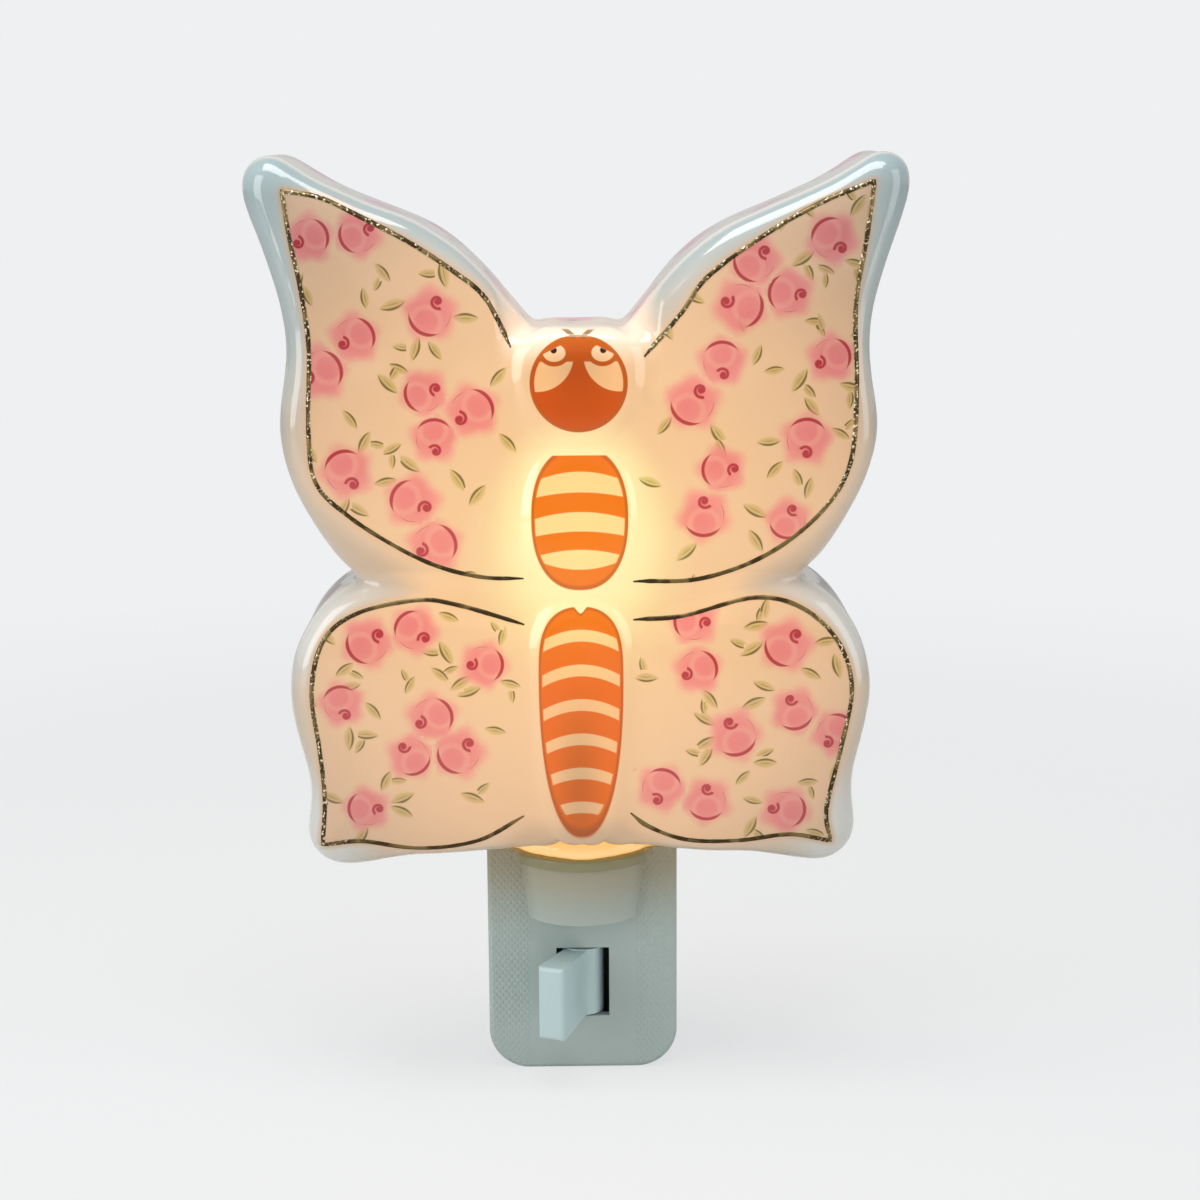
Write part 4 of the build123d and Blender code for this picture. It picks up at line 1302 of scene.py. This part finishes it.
# the lamp's glass and its hot wire
bulb = {
    "glassRoughness": 0.05,
    "glassIor": 1.45,
    "glassLight": 0.35,
    "film": (7, 2.0),
    "filmDark": (0.96, 0.95, 0.92, 1),
    "filmPale": (1.0, 0.99, 0.97, 1),
    "heat": (16.0, 2.0),
    "glassGlowFar": (0.16, 0.09, 0.03, 1),
    "hotGlass": (1.0, 0.72, 0.34, 1),
    "wireRoughness": 0.5,
    "wireLight": 4.0,
    "coilRate": 40,
    "coilEnds": (-0.6, 0.6),
    "wireDark": (0.30, 0.15, 0.05, 1),
    "wirePale": (0.9, 0.6, 0.3, 1),
    "wireGlowDark": (0.9, 0.45, 0.12, 1),
    "wireGlowPale": (1.0, 0.85, 0.55, 1),
}


def glassFinish():
    finish = Finish("lampGlass", Roughness=bulb["glassRoughness"], IOR=bulb["glassIor"])
    finish.feed(Transmission_Weight=1.0, Emission_Strength=bulb["glassLight"])
    x, y, z = finish.place()
    lampX, lampY, lampZ = studio["lampPlace"]
    # painted glow of the wire's light in the clear glass, strongest near the wire
    heat = finish.ease(length2(length2(x - lampX, y - lampY), z - lampZ), *bulb["heat"])
    film = finish.speckle(*bulb["film"])
    finish.feed(
        Base_Color=finish.mix(film, bulb["filmDark"], bulb["filmPale"]),
        Emission_Color=finish.mix(heat, bulb["glassGlowFar"], bulb["hotGlass"]),
    )
    return finish


def filamentFinish():
    finish = Finish("hotWire", Emission_Strength=bulb["wireLight"], Roughness=bulb["wireRoughness"])
    coil = finish.maths("SINE", finish.place()[0] * bulb["coilRate"])
    coil = finish.ease(coil, *bulb["coilEnds"])
    finish.feed(
        Base_Color=finish.mix(coil, bulb["wireDark"], bulb["wirePale"]),
        Emission_Color=finish.mix(coil, bulb["wireGlowDark"], bulb["wireGlowPale"]),
    )
    return finish


setCamera()
setStudio()
gilded = wingLines()
shell = modelShade(gilded)
modelGilding(shell, gilded, giltFinish())
shell.data.materials.clear()
shell.data.materials.append(porcelainFinish().material)
print("porcelain dressed")

housing = plasticFinish("shadedHousingPlastic", hatched=True)
paddle = plasticFinish("paddlePlastic")
holder = plasticFinish("holderPlastic")
wireCover = plasticFinish("wireCover")
black = plasticFinish("blackInsulator")
brass, steel, silver = [metalFinish(name) for name in ("brass", "steel", "silver")]
glass = glassFinish()
# CAD node, finish, body that it rides on, rounding of its edges in millimetres
pieces = [
    ("front_cover", housing, "base", 0.15),
    ("rear_cover", housing, "base", 0.2),
    ("switch_rocker", paddle, "rocker", 0.25),
    ("holder_tube", holder, "base", 0.3),
    ("shade_ring", holder, "base", 0.2),
    ("shade_washer", rubberFinish(), "base", 0.15),
    ("live_blade", brass, "base", 0.12),
    ("neutral_blade", brass, "base", 0.12),
    ("cover_screws", steel, "base", 0.1),
    ("socket_shell", brass, "base", 0.0),
    ("bulb_cap", brass, "lamp", 0.0),
    ("bulb_insulator", black, "lamp", 0.0),
    ("bulb_tip", silver, "lamp_foot", 0.0),
    ("bulb_glass", glass, "lamp", 0.0),
    ("bulb_stem", glass, "lamp", 0.0),
    ("bulb_leads", steel, "lamp", 0.0),
    ("bulb_filament", filamentFinish(), "lamp", 0.0),
]
for row in pieces:
    polishedPiece(*row)
# CAD nodes inside the base and the holder, which keep their own mesh
hidden = {
    brass: ["live_strip", "switch_leaf", "switch_terminal", "centre_contact"],
    silver: ["fixed_contact", "moving_contact"],
    steel: ["rocker_pin"],
    wireCover: ["switched_wire", "neutral_wire"],
    black: ["contact_disc"],
}
for finish, names in hidden.items():
    for name in names:
        nodes[name].data.materials.clear()
        nodes[name].data.materials.append(finish.material)
# the lamp's light passes through its glass
for name in ("bulbGlass", "bulbStem"):
    bpy.data.objects[name].visible_shadow = False
print("pieces dressed:", len(pieces), "carried over,", sum(map(len, hidden.values())), "inside")
